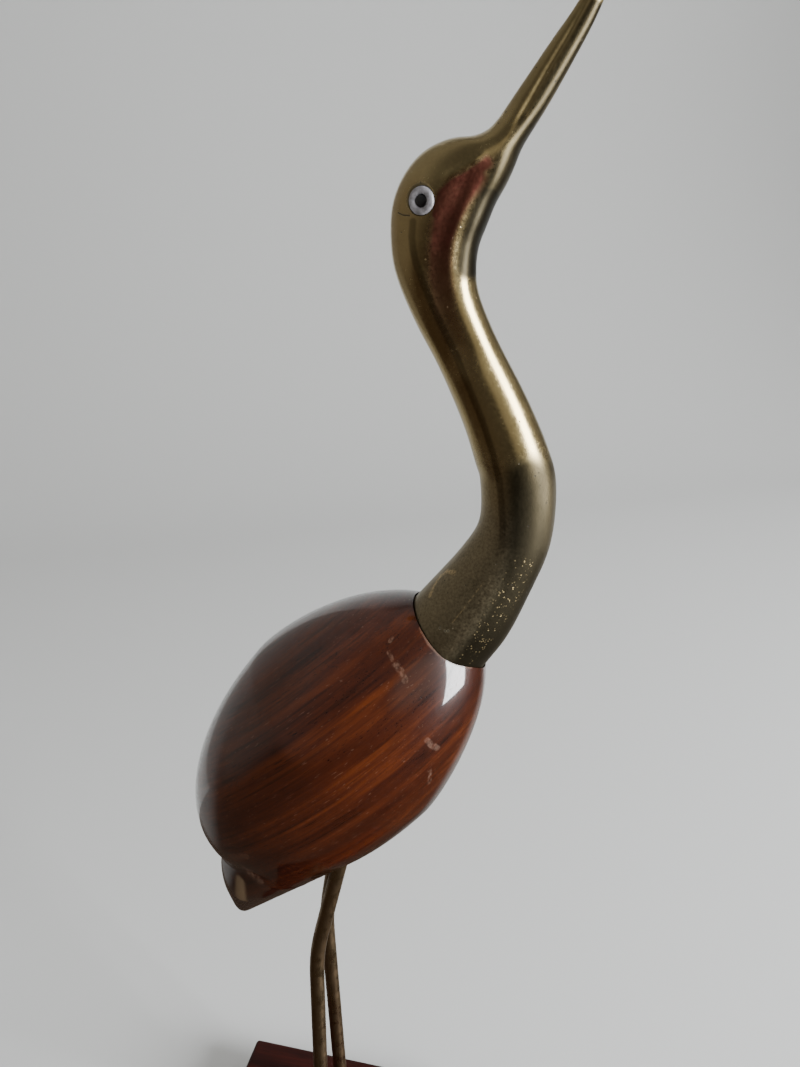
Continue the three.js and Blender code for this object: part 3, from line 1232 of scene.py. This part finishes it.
@dataclass(frozen=True)
class RodLeg:
    """One bent rod: its foot, knee and hip from the feet, forward, out from the middle and up."""

    side: Side
    foot: Point3
    knee: Point3
    hip: Point3
    diameter: float = 3.2 * MM
    bend: float = 6.0 * MM
    socket: float = 8.0 * MM
    sides: int = 16
    bend_steps: int = 8
    straight_steps: int = 6
    end_bulge: float = 0.05 * MM
    sharp: float = 50.0

    def _path(self, extra: float) -> list[Vector]:
        """List the points of the rod's middle line.

        Args:
            extra: How far both ends run on, in metres.

        Returns:
            The points from the slab's socket up to the hip.
        """
        foot, knee, hip = placed([(forward, self.side.value * out, up)
                                  for forward, out, up in (self.foot, self.knee, self.hip)])
        down, up = (foot - knee).normalized(), (hip - knee).normalized()
        lowest = foot + down * (self.socket + extra)
        highest = hip + up * extra
        below, above = knee + down * self.bend, knee + up * self.bend
        points = [lowest.lerp(below, step / self.straight_steps) for step in range(self.straight_steps)]
        for step in range(self.bend_steps + 1):
            t = step / self.bend_steps
            points.append(below.lerp(knee, t).lerp(knee.lerp(above, t), t))
        points += [above.lerp(highest, (step + 1) / self.straight_steps)
                   for step in range(self.straight_steps)]
        return points

    def rod(self, fit: float) -> bpy.types.Object:
        """Model the rod, grown by a fit all round.

        Args:
            fit: How far its skin and ends are moved out, in metres.

        Returns:
            The rod.
        """
        points = self._path(fit)
        radius = (self.diameter / 2 + fit) / drawn_in(self.sides)
        rings = []
        for number, point in enumerate(points):
            before = points[max(number - 1, 0)]
            after = points[min(number + 1, len(points) - 1)]
            along = (after - before).normalized()
            forward = ACROSS.cross(along).normalized()
            rings.append(Ring(point, forward * radius, along.cross(forward) * radius))
        rod = loft(rings, self.sides, self.end_bulge)
        round_off(rod)
        return rod

    def build(self, material: bpy.types.Material) -> bpy.types.Object:
        """Model and dress the leg."""
        node = f"leg_{self.side.node_end}"
        return finish_piece(self.rod(0.0), f"{node}_rod", [node], material, self.sharp)


@dataclass(frozen=True)
class Egg:
    """The body's egg, in millimetres from the feet, with its long axis leaning forward."""

    middle: Point2 = (6.8, 120.3)
    slope: float = 49.7
    rear: float = 42.5
    front: float = 34.1
    half_depth: float = 22.7
    width_share: float = 0.92
    rear_fullness: float = 2.25
    front_fullness: float = 1.43
    bow: float = 0.76
    lean: float = 1.07
    segments: int = 144
    rings: int = 108

    def holds(self, places: np.ndarray) -> np.ndarray:
        """Tell which points lie inside the egg.

        Args:
            places: Points in millimetres from the feet, one a row.

        Returns:
            True for each point inside.
        """
        slope = math.radians(self.slope)
        forward, up = places[:, 0] - self.middle[0], places[:, 2] - self.middle[1]
        along = forward * math.cos(slope) + up * math.sin(slope)
        back = up * math.cos(slope) - forward * math.sin(slope)
        ahead = along > 0
        share = np.clip(along / np.where(ahead, self.front, self.rear), -1, 1)
        fullness = np.where(ahead, self.front_fullness, self.rear_fullness)
        depth = self.half_depth * np.sqrt(1 - np.abs(share) ** fullness) + HARDLY_ANY
        offset = back - (self.bow + self.lean * share) * (1 - share ** 2)
        return (offset / depth) ** 2 + (places[:, 1] / (self.width_share * depth)) ** 2 < 1

    def solid(self, grown: float = 0.0) -> bpy.types.Object:
        """Model the egg from a sphere.

        Args:
            grown: How far its skin is moved out, in millimetres.

        Returns:
            The egg.
        """
        bpy.ops.mesh.primitive_uv_sphere_add(segments=self.segments, ring_count=self.rings, radius=1)
        egg = bpy.context.object
        along = Vector((math.cos(math.radians(self.slope)), 0, math.sin(math.radians(self.slope))))
        back = along.cross(ACROSS)
        middle = Vector((self.middle[0], 0, self.middle[1]))
        for vertex in egg.data.vertices:
            share = vertex.co.z
            angle = math.atan2(vertex.co.y, vertex.co.x)
            reach = self.front if share > 0 else self.rear
            fullness = self.front_fullness if share > 0 else self.rear_fullness
            depth = (self.half_depth + grown) * math.sqrt(max(0.0, 1 - abs(share) ** fullness))
            offset = (self.bow + self.lean * share) * (1 - share * share) - depth * math.cos(angle)
            place = (middle + along * (reach + grown) * share + back * offset
                     + ACROSS * self.width_share * depth * math.sin(angle))
            vertex.co = from_feet(*place)
        face_outward(egg)
        return egg


@dataclass(frozen=True)
class HeronBody:
    """The egg of the body with its tail stub under the wing's end."""

    egg: Egg = Egg()
    tail: tuple[Chord, ...] = (
        (-17.0, 100.0, 2.6, 87.4, 15.0),
        (-21.1, 90.2, -5.4, 80.7, 11.5),
        (-22.0, 84.2, -10.9, 76.2, 8.4),
        (-21.5, 79.8, -14.8, 72.3, 5.7),
        (-20.9, 77.0, -17.4, 69.8, 3.8))
    tail_bulge: float = 1.6 * MM
    tail_per_span: int = 4
    tail_sides: int = 32
    socket_fit: float = 0.1 * MM
    heart: Point2 = (-8.0, 92.0)
    tail_tip: Point2 = (-19.0, 72.5)
    longest_ray: float = 90.0
    halvings: int = 34
    segments: int = 240
    rings: int = 200
    crisp: float = 0.7
    soft: float = 3.0
    crisp_until: float = 74.0
    soft_from: float = 106.0
    faired_from: float = 0.5
    fairing: float = 0.5
    fairing_passes: int = 6
    fills: tuple[tuple[Point2, float, float], ...] = (
        ((25.0, 109.0), 0.6, 0.28),
        ((34.2, 129.5), 0.45, 0.13))
    sharp: float = 32.0

    def build(self, legs: Sequence[RodLeg], recess: bpy.types.Object) -> bpy.types.Object:
        """Model and dress the body.

        Args:
            legs: The legs whose sockets are drilled.
            recess: What is cut away for the neck's foot.

        Returns:
            The body.
        """
        heart, tip = placed([self.heart, self.tail_tip])
        bpy.ops.mesh.primitive_uv_sphere_add(segments=self.segments, ring_count=self.rings, radius=1,
                                             rotation=(tip - heart).to_track_quat("Z", "Y").to_euler())
        body = bpy.context.object
        settle(body)
        self._draw_skin(body, heart)
        for leg in legs:
            cut_away(body, leg.rod(self.socket_fit))
        cut_away(body, recess)
        face_outward(body)
        return finish_piece(body, "body_wood", ["body"], BodyWood().make(), self.sharp)

    def _draw_skin(self, body: bpy.types.Object, heart: Vector) -> None:
        """Move a ball's points along their rays to the egg or the tail, whichever is further.

        The two blend softly on the sides and belly. On the back the wing's end overhangs the tail crisply.
        Each fill then swells the skin gently: the place it points at, its height, and its reach in radians.

        Args:
            body: A ball of radius 1 about the origin.
            heart: Where the rays start, in metres.
        """
        rays = np.array([vertex.co.normalized() for vertex in body.data.vertices])
        start = np.array([self.heart[0], 0.0, self.heart[1]])
        inside, outside = np.zeros(len(rays)), np.full(len(rays), self.longest_ray)
        for _ in range(self.halvings):
            tried = (inside + outside) / 2
            held = self.egg.holds(start + rays * tried[:, None])
            inside, outside = np.where(held, tried, inside), np.where(held, outside, tried)
        rings = chord_rings(self.tail, self.tail_per_span, self.tail_sides)
        tail = loft(rings, self.tail_sides, self.tail_bulge)
        round_off(tail)
        reached = self._reach(tail, heart, rays)
        with_egg = self.egg.solid()
        only(tail)
        with_egg.select_set(True)
        bpy.ops.object.join()
        with editing(tail):
            bpy.ops.mesh.select_all(action="SELECT")
            bpy.ops.mesh.convex_hull()
        wrapped = self._reach(tail, heart, rays)
        bpy.data.objects.remove(tail, do_unlink=True)

        slope = math.radians(self.egg.slope)
        tail_back = np.array([-math.sin(slope), 0, math.cos(slope)])
        round_tail = np.degrees(np.arctan2(np.abs(rays[:, 1]), rays @ tail_back))
        opened = smooth_step((round_tail - self.crisp_until) / (self.soft_from - self.crisp_until))
        softness = self.crisp + (self.soft - self.crisp) * opened
        near = np.maximum(softness - np.abs(inside - reached), 0) / softness
        skin = np.maximum(inside, reached) + near ** 2 * softness / 4
        skin = skin + opened * np.maximum(wrapped - skin, 0)
        past_egg = skin - inside
        for (forward, up), height, reach in self.fills:
            aim = Vector((forward - self.heart[0], 0, up - self.heart[1])).normalized()
            off = np.arccos(np.clip(rays @ np.array(aim), -1, 1))
            skin = skin + height * np.exp(-(off / reach) ** 2)
        places = np.array(heart) + rays * (skin * MM)[:, None]
        body.data.vertices.foreach_set("co", places.ravel())
        body.data.update()
        with editing(body) as mesh:
            for vertex, share, past in zip(mesh.verts, opened, past_egg):
                vertex.select_set(share > self.faired_from and past > 0)
            bmesh.update_edit_mesh(body.data)
            bpy.ops.mesh.vertices_smooth(factor=self.fairing, repeat=self.fairing_passes)
        face_outward(body)

    @staticmethod
    def _reach(form: bpy.types.Object, heart: Vector, rays: np.ndarray) -> np.ndarray:
        """Measure how far rays go until they leave a form.

        Args:
            form: The form, which holds the rays' start.
            heart: Where the rays start, in metres.
            rays: Their directions, one a row.

        Returns:
            The distances in millimetres.
        """
        tree = BVHTree.FromObject(form, bpy.context.evaluated_depsgraph_get())
        return np.array([tree.ray_cast(heart, Vector(ray))[3] or 0.0 for ray in rays]) / MM


@dataclass(frozen=True)
class NeckAndHead:
    """The casting of neck, head and beak. Each chord gives throat side, back and half width."""

    chords: tuple[Chord, ...] = (
        (30.1, 132.4, 17.0, 145.3, 8.8),
        (33.9, 138.3, 21.1, 150.6, 8.6),
        (37.3, 143.9, 23.8, 153.9, 8.2),
        (40.6, 152.1, 28.4, 159.8, 7.2),
        (43.7, 161.5, 31.3, 165.2, 6.4),
        (44.0, 172.0, 31.2, 172.1, 6.1),
        (42.1, 178.5, 30.2, 175.4, 5.8),
        (38.1, 186.8, 28.0, 181.8, 5.2),
        (33.1, 195.6, 23.9, 190.7, 4.8),
        (30.1, 202.1, 19.8, 198.0, 5.0),
        (29.4, 206.0, 16.6, 205.2, 5.3),
        (29.7, 209.6, 15.7, 210.6, 5.6),
        (30.9, 212.8, 16.0, 215.9, 5.8),
        (32.1, 215.8, 17.9, 220.2, 5.7),
        (33.6, 218.4, 21.0, 223.4, 5.2),
        (34.7, 220.8, 25.0, 225.0, 4.6),
        (35.5, 222.9, 28.7, 225.3, 3.9),
        (36.6, 224.9, 31.4, 226.7, 3.2),
        (39.2, 228.9, 34.5, 230.8, 2.5),
        (42.7, 235.0, 39.1, 237.1, 2.0),
        (45.6, 240.6, 42.8, 242.1, 1.5),
        (48.9, 249.1, 47.4, 250.0, 0.8))
    per_span: int = 4
    sides: int = 32
    tip_bulge: float = 0.8 * MM
    foot_pinch: float = 0.38
    pinched_chords: float = 3.0
    recess_depth: float = 0.7
    recess_gap: float = 0.28
    seat_gap: float = 0.1
    sharp: float = 42.0
    carving: tuple[Stroke, ...] = (
        Stroke(((31.4, 222.7), (29.4, 221.4), (27.6, 220.4), (25.9, 219.5), (24.4, 218.3)), 0.7, 0.34, 0.3),
        Stroke(((31.8, 221.9), (29.7, 219.4), (27.8, 217.2), (26.0, 214.2), (24.6, 210.5), (24.0, 206.9),
                (24.2, 203.3), (25.3, 199.6), (27.2, 195.0), (29.6, 189.5)), 2.1, -0.6),
        Stroke(((33.4, 223.4), (31.7, 220.3), (30.1, 217.0), (28.7, 213.9), (27.7, 211.0), (27.1, 208.0),
                (27.2, 204.0)), 0.9, -0.12),
        Stroke(((30.6, 219.9), (29.2, 217.6), (28.0, 215.0), (27.0, 212.6), (26.3, 210.2), (25.9, 207.5),
                (26.1, 204.0), (26.8, 200.5)), 0.8, 0.14),
        Stroke(((36.8, 229.4), (34.6, 225.1), (32.7, 220.9), (31.0, 216.8), (29.5, 213.1), (28.5, 209.1),
                (28.1, 204.7), (28.8, 200.5)), 1.2, 0.12),
        Stroke(((20.6, 214.2), (20.0, 211.1), (20.2, 208.8), (21.0, 206.2), (22.2, 203.4), (23.6, 200.4),
                (25.3, 196.8), (27.3, 192.9), (29.6, 188.0), (32.0, 182.6), (33.6, 178.0), (34.9, 173.2),
                (35.2, 168.2), (34.9, 163.4), (34.0, 159.2)), 0.8, 0.07, 0.1),
        Stroke(((33.9, 224.6), (35.4, 227.0), (37.4, 230.4), (39.4, 233.9), (41.4, 237.1),
                (43.0, 240.0), (46.6, 246.6)), 0.5, -0.26))

    def _form(self, grown: float) -> bpy.types.Object:
        """Model the neck, head and beak before carving.

        Args:
            grown: How far the skin is moved out, in millimetres.

        Returns:
            The form.
        """
        grown_chords = []
        for x1, z1, x2, z2, half_width in self.chords:
            chord = Vector((x1 - x2, z1 - z2))
            out = chord.normalized() * grown
            grown_chords.append((x1 + out.x, z1 + out.y, x2 - out.x, z2 - out.y, half_width + grown))
        rings = chord_rings(grown_chords, self.per_span, self.sides, self.foot_pinch, self.pinched_chords)
        neck = loft(rings, self.sides, self.tip_bulge)
        round_off(neck)
        return neck

    def recess(self, seat: Egg) -> bpy.types.Object:
        """Model what is cut from the body for the foot, a shallow bed a little wider than it.

        Args:
            seat: The body's egg.

        Returns:
            The form that is cut away.
        """
        bed = self._form(self.recess_gap)
        cut_away(bed, seat.solid(-self.recess_depth))
        return bed

    def build(self, seat: Egg, eyes: Sequence["Eye"]) -> bpy.types.Object:
        """Model and dress the casting.

        Args:
            seat: The egg that the foot is fitted to.
            eyes: The eyes whose sockets are cut.

        Returns:
            The casting.
        """
        neck = self._form(0.0)
        carve(neck, self.carving)
        cut_away(neck, seat.solid(self.seat_gap - self.recess_depth))
        for eye in eyes:
            cut_away(neck, eye.socket())
        face_outward(neck)
        return finish_piece(neck, "neck_and_head_casting", ["neck_and_head"],
                            CastBrass().make(), self.sharp)


@dataclass(frozen=True)
class Eye:
    """An inlaid ring with a pupil, where the model has them, turned a little backward."""

    side: Side
    turned_back: float = 15.0
    ring_radius: float = 2.05 * MM
    pupil_radius: float = 0.92 * MM
    thickness: float = 1.6 * MM
    proud: float = 0.25 * MM
    dome: float = 0.3 * MM
    fit: float = 0.1 * MM
    pupil_gap: float = 0.03 * MM
    steps: int = 48
    arch_steps: int = 10
    drill_sides: int = 64
    sharp: float = 45.0

    def _axis(self) -> Vector:
        """The direction out of the face."""
        turn = math.radians(self.turned_back)
        return Vector((-math.sin(turn), self.side.value * math.cos(turn), 0))

    def _skin(self) -> Vector:
        """The place on the head's skin under the middle of the eye."""
        low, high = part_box(f"eye_ring_{self.side.node_end}")
        return (low + high) / 2 + self._axis() * (self.thickness / 2 - self.proud)

    def _stand(self, piece: bpy.types.Object) -> None:
        """Turn a piece made along +Z to the eye's axis and put it in the head.

        Args:
            piece: The piece, made about the origin.
        """
        piece.location = self._skin()
        piece.rotation_euler = self._axis().to_track_quat("Z", "X").to_euler()
        settle(piece)

    def _turned(self, profile: Sequence[Point2]) -> bpy.types.Object:
        """Spin a profile of radius and height round the eye's axis.

        Args:
            profile: The profile's points, in metres. It is closed, or starts and ends on the axis.

        Returns:
            The turned piece.
        """
        bpy.ops.mesh.primitive_plane_add(size=1, location=(0, 0, 0))
        piece = bpy.context.object
        with editing(piece) as mesh:
            bmesh.ops.delete(mesh, geom=list(mesh.verts), context="VERTS")
            points = [mesh.verts.new((radius, 0, height)) for radius, height in profile]
            for start, end in zip(points[:-1], points[1:]):
                mesh.edges.new((start, end))
            bmesh.update_edit_mesh(piece.data)
            bpy.ops.mesh.select_all(action="SELECT")
            bpy.ops.mesh.spin(steps=self.steps, angle=2 * math.pi, center=(0, 0, 0), axis=(0, 0, 1))
        face_outward(piece)
        self._stand(piece)
        return piece

    def _arch(self, inner: float, outer: float, share: float) -> list[Point2]:
        """List the points of the arched face, from its outer edge inward.

        Args:
            inner: The radius where a whole arch ends.
            outer: The radius where it starts.
            share: How much of the arch there is.

        Returns:
            The points' radii and heights, in metres.
        """
        middle = (inner + outer) / 2
        points = []
        for step in range(self.arch_steps + 1):
            angle = share * math.pi * step / self.arch_steps
            points.append((middle + (outer - middle) * math.cos(angle),
                           self.proud + self.dome * (math.sin(angle) - 1)))
        return points

    def socket(self) -> bpy.types.Object:
        """Model the drill for the eye's socket.

        Returns:
            The drill, which is cut away.
        """
        depth = self.thickness + self.proud
        bpy.ops.mesh.primitive_cylinder_add(vertices=self.drill_sides, radius=self.ring_radius + self.fit,
                                            depth=2 * depth, location=(0, 0, 0))
        drill = bpy.context.object
        drill.location = (0, 0, depth - self.thickness + self.proud - self.fit)
        settle(drill)
        self._stand(drill)
        return drill

    def build(self, shell: bpy.types.Material, jet: bpy.types.Material) -> list[bpy.types.Object]:
        """Model and dress the ring and the pupil.

        Args:
            shell: The ring's material.
            jet: The pupil's material.

        Returns:
            Both pieces.
        """
        low = self.proud - self.thickness
        inner = self.pupil_radius + self.pupil_gap
        end = self.side.node_end
        ring = self._turned([(inner, low), (self.ring_radius, low),
                             *self._arch(inner, self.ring_radius, 1.0), (inner, low)])
        dot = self._turned([(0.0, low), (self.pupil_radius, low),
                            *self._arch(-self.pupil_radius, self.pupil_radius, 0.5)])
        return [
            finish_piece(ring, f"eye_ring_{end}_shell", [f"eye_ring_{end}"], shell,
                         self.sharp),
            finish_piece(dot, f"pupil_{end}_inlay", [f"pupil_{end}"], jet,
                         self.sharp)]


# The studio


def towards(azimuth: float, elevation: float) -> Vector:
    """Give the direction of an azimuth and an elevation in degrees."""
    turn, tilt = math.radians(azimuth), math.radians(elevation)
    return Vector((math.cos(turn) * math.cos(tilt), math.sin(turn) * math.cos(tilt), math.sin(tilt)))


@dataclass(frozen=True)
class Softbox:
    """A soft rectangular light, by where it stands from the figure's middle. Degrees and metres."""

    azimuth: float
    elevation: float
    distance: float
    width: float
    height: float
    power: float
    colour: Colour = (1.0, 1.0, 1.0)
    in_reflections: bool = True
    on_matt: bool = True
    roll: float = 0.0

    def add(self, middle: Vector) -> None:
        """Add the light, facing the figure.

        Args:
            middle: The figure's middle.
        """
        away = towards(self.azimuth, self.elevation)
        facing = away.to_track_quat("Z", "Y") @ Quaternion((0, 0, 1), math.radians(self.roll))
        bpy.ops.object.light_add(type="AREA", location=middle + away * self.distance,
                                 rotation=facing.to_euler())
        light = bpy.context.object
        light.data.shape = "RECTANGLE"
        light.data.size = self.width
        light.data.size_y = self.height
        light.data.energy = self.power
        light.data.color = self.colour
        light.visible_camera = False
        light.visible_glossy = self.in_reflections
        light.visible_diffuse = self.on_matt


@dataclass(frozen=True)
class Glow:
    """A paler part of the room: where it is, where it ends and where it is full, in degrees."""

    azimuth: float
    elevation: float
    ends: float
    full: float
    colour: Colour

    def over(self, graph: Graph, direction: Value, room: Value) -> Value:
        """Lay the glow over the room's colour.

        Args:
            graph: The room's graph.
            direction: Where the room is looked at.
            room: Its colour so far.

        Returns:
            The colour with the glow.
        """
        middle = tuple(towards(self.azimuth, self.elevation))
        near = graph.vector("DOT_PRODUCT", {0: direction, 1: middle}, "Value")
        share = graph.rise(near, math.cos(math.radians(self.ends)), math.cos(math.radians(self.full)))
        return graph.mix(share, room, self.colour)


@dataclass(frozen=True)
class Studio:
    """Pale floor running up into a pale backdrop, soft lights, and the camera at the photograph's angle."""

    paper: Colour = (0.57, 0.577, 0.572)
    ground: Colour = (0.07, 0.048, 0.035)
    level: Colour = (0.21, 0.19, 0.17)
    ceiling: Colour = (0.3, 0.29, 0.275)
    surround: Colour = (0.6, 0.6, 0.59)
    left_end: float = 0.22
    right_end: float = 3.0
    front: float = -3.0
    middle: float = 0.14
    sheet_turn: float = 30.0
    camera_shade: float = 0.55
    camera_shade_range: Range = (0.45, 0.9)
    level_range: Range = (-0.32, 0.06)
    ceiling_range: Range = (0.05, 0.6)
    glows: tuple[Glow, ...] = (
        Glow(140.0, 0.0, 42.0, 26.0, (0.29, 0.272, 0.258)),
        Glow(-166.0, 6.0, 34.0, 12.0, (0.25, 0.226, 0.203)),
        Glow(160.0, -28.0, 24.0, 10.0, (0.295, 0.282, 0.269)),
        Glow(-52.0, 16.0, 24.0, 11.0, (0.44, 0.41, 0.35)),
        Glow(76.0, -30.0, 28.0, 12.0, (0.42, 0.41, 0.39)))
    behind: float = 1.1
    height: float = 2.4
    cove: float = 0.6
    cove_steps: int = 24
    camera_place: Point3 = (0.0408, -0.1323, 0.219)
    camera_pitch: float = 19.0
    camera_turn: float = 12.65
    lens: float = 27.03
    nearest_seen: float = 0.01
    lights: tuple[Softbox, ...] = (
        Softbox(-12.5, 8.0, 0.95, 0.43, 0.9, 34.0, (0.96, 0.98, 1.0), on_matt=False, roll=4.0),
        Softbox(-17.0, 18.0, 0.95, 0.4, 0.4, 25.0, (0.96, 0.98, 1.0), in_reflections=False),
        Softbox(30.0, 52.0, 1.4, 1.2, 1.2, 12.0, in_reflections=False),
        Softbox(-120.0, 30.0, 1.4, 1.2, 1.2, 3.0, (1.0, 0.95, 0.86), in_reflections=False))

    def build(self) -> None:
        """Lay the floor, light it and set the camera."""
        paper = new_material("studio_paper", self._draw_paper)
        self._lay_front(paper)
        self._lay_back(paper)
        middle = (CAD_BOX[0] + CAD_BOX[1]) / 2
        for light in self.lights:
            light.add(middle)
        self._set_world()
        bpy.ops.object.camera_add(location=self.camera_place,
                                  rotation=(math.radians(90 - self.camera_pitch), 0,
                                            math.radians(self.camera_turn)))
        camera = bpy.context.object
        camera.data.lens = self.lens
        camera.data.clip_start = self.nearest_seen
        bpy.context.scene.camera = camera

    def _lay_sheet(self, left: float, front: float, behind: float) -> bpy.types.Object:
        """Lay a flat sheet.

        Args:
            left: How far it reaches to the left.
            front: Where it starts, behind the figure.
            behind: Where it ends.

        Returns:
            The sheet.
        """
        middle = ((self.right_end - left) / 2, (behind + front) / 2, 0)
        bpy.ops.mesh.primitive_plane_add(size=1, location=middle)
        sheet = bpy.context.object
        sheet.scale = (self.right_end + left, behind - front, 1)
        settle(sheet)
        return sheet

    def _lay_front(self, paper: bpy.types.Material) -> None:
        """Lay the near floor, which glossy pieces don't mirror and which hides no light from them.

        Args:
            paper: Its material.
        """
        sheet = self._lay_sheet(self.right_end, self.front, self.middle)
        sheet.name = "studio_floor"
        sheet.data.materials.append(paper)
        sheet.visible_glossy = False
        sheet.visible_shadow = False
        self._turn(sheet)

    def _turn(self, sheet: bpy.types.Object) -> None:
        """Turn a sheet about the figure's upright axis."""
        sheet.rotation_euler = (0, 0, math.radians(self.sheet_turn))
        settle(sheet)

    def _lay_back(self, paper: bpy.types.Material) -> None:
        """Lay the far floor and the backdrop as one sheet with a cove between them.

        Args:
            paper: Its material.
        """
        sheet = self._lay_sheet(self.left_end, self.middle, self.behind)
        with editing(sheet) as mesh:
            bpy.ops.mesh.select_mode(type="EDGE")
            for edge in mesh.edges:
                edge.select_set(all(vertex.co.y > self.behind - CLEAN_WELD for vertex in edge.verts))
            bmesh.update_edit_mesh(sheet.data)
            bpy.ops.mesh.extrude_region_move(TRANSFORM_OT_translate={"value": (0, 0, self.height)})
            mesh = bmesh.from_edit_mesh(sheet.data)
            for edge in mesh.edges:
                at_back = all(vertex.co.y > self.behind - CLEAN_WELD for vertex in edge.verts)
                edge.select_set(at_back and all(vertex.co.z < CLEAN_WELD for vertex in edge.verts))
            bmesh.update_edit_mesh(sheet.data)
            bpy.ops.mesh.bevel(offset=self.cove, segments=self.cove_steps, affect="EDGES")
        only(sheet)
        bpy.ops.object.shade_smooth()
        sheet.name = "studio_backdrop"
        sheet.data.materials.append(paper)
        self._turn(sheet)

    def _draw_paper(self, graph: Graph) -> None:
        """Build the paper's plain shader graph."""
        graph.surface({"Base Color": (*self.paper, 1.0), "Roughness": 0.9, "Specular IOR Level": 0.2})

    def _set_world(self) -> None:
        """Make the room dim for the figure, darker below and by the camera, and pale behind it."""
        world = bpy.data.worlds.new("studio_room")
        world.use_nodes = True
        bpy.context.scene.world = world
        graph = Graph(world.node_tree)
        direction = graph.node("ShaderNodeTexCoord", {}, {}, "Generated")
        up = graph.node("ShaderNodeSeparateXYZ", {}, {0: direction}, "Z")
        room = graph.mix(graph.rise(up, *self.level_range), self.ground, self.level)
        room = graph.mix(graph.rise(up, *self.ceiling_range), room, self.ceiling)
        to_camera = (Vector(self.camera_place) - (CAD_BOX[0] + CAD_BOX[1]) / 2).normalized()
        by_camera = graph.vector("DOT_PRODUCT", {0: direction, 1: tuple(to_camera)}, "Value")
        shade = graph.rise(by_camera, *self.camera_shade_range) * self.camera_shade
        room = graph.darken(room, 1 - shade)
        for glow in self.glows:
            room = glow.over(graph, direction, room)
        seen = graph.node("ShaderNodeLightPath", {}, {}, "Is Camera Ray")
        colour = graph.mix(seen, room, self.surround)
        light = graph.node("ShaderNodeBackground", {}, {"Color": colour, "Strength": 1.0})
        graph.node("ShaderNodeOutputWorld", {}, {"Surface": light})


def main() -> None:
    """Build the studio and every piece, in order."""
    logging.basicConfig(level=logging.INFO, format="%(name)s: %(message)s")
    bpy.ops.object.select_all(action="DESELECT")
    Studio().build()
    legs = [RodLeg(Side.RIGHT, (0.0, 7.0, 0.0), (-0.5, 4.6, 65.2), (7.9, 4.0, 101.0)),
            RodLeg(Side.LEFT, (0.7, 7.3, 0.0), (-1.1, 4.6, 67.6), (4.4, 4.0, 101.0))]
    Slab().build(legs)
    rod_brass = RodBrass().make()
    for leg in legs:
        leg.build(rod_brass)
    heron_body, neck = HeronBody(), NeckAndHead()
    heron_body.build(legs, neck.recess(heron_body.egg))
    eyes = [Eye(side) for side in Side]
    neck.build(heron_body.egg, eyes)
    shell, jet = EyeShell().make(), EyeJet().make()
    for eye in eyes:
        eye.build(shell, jet)


if __name__ == "__main__":
    main()
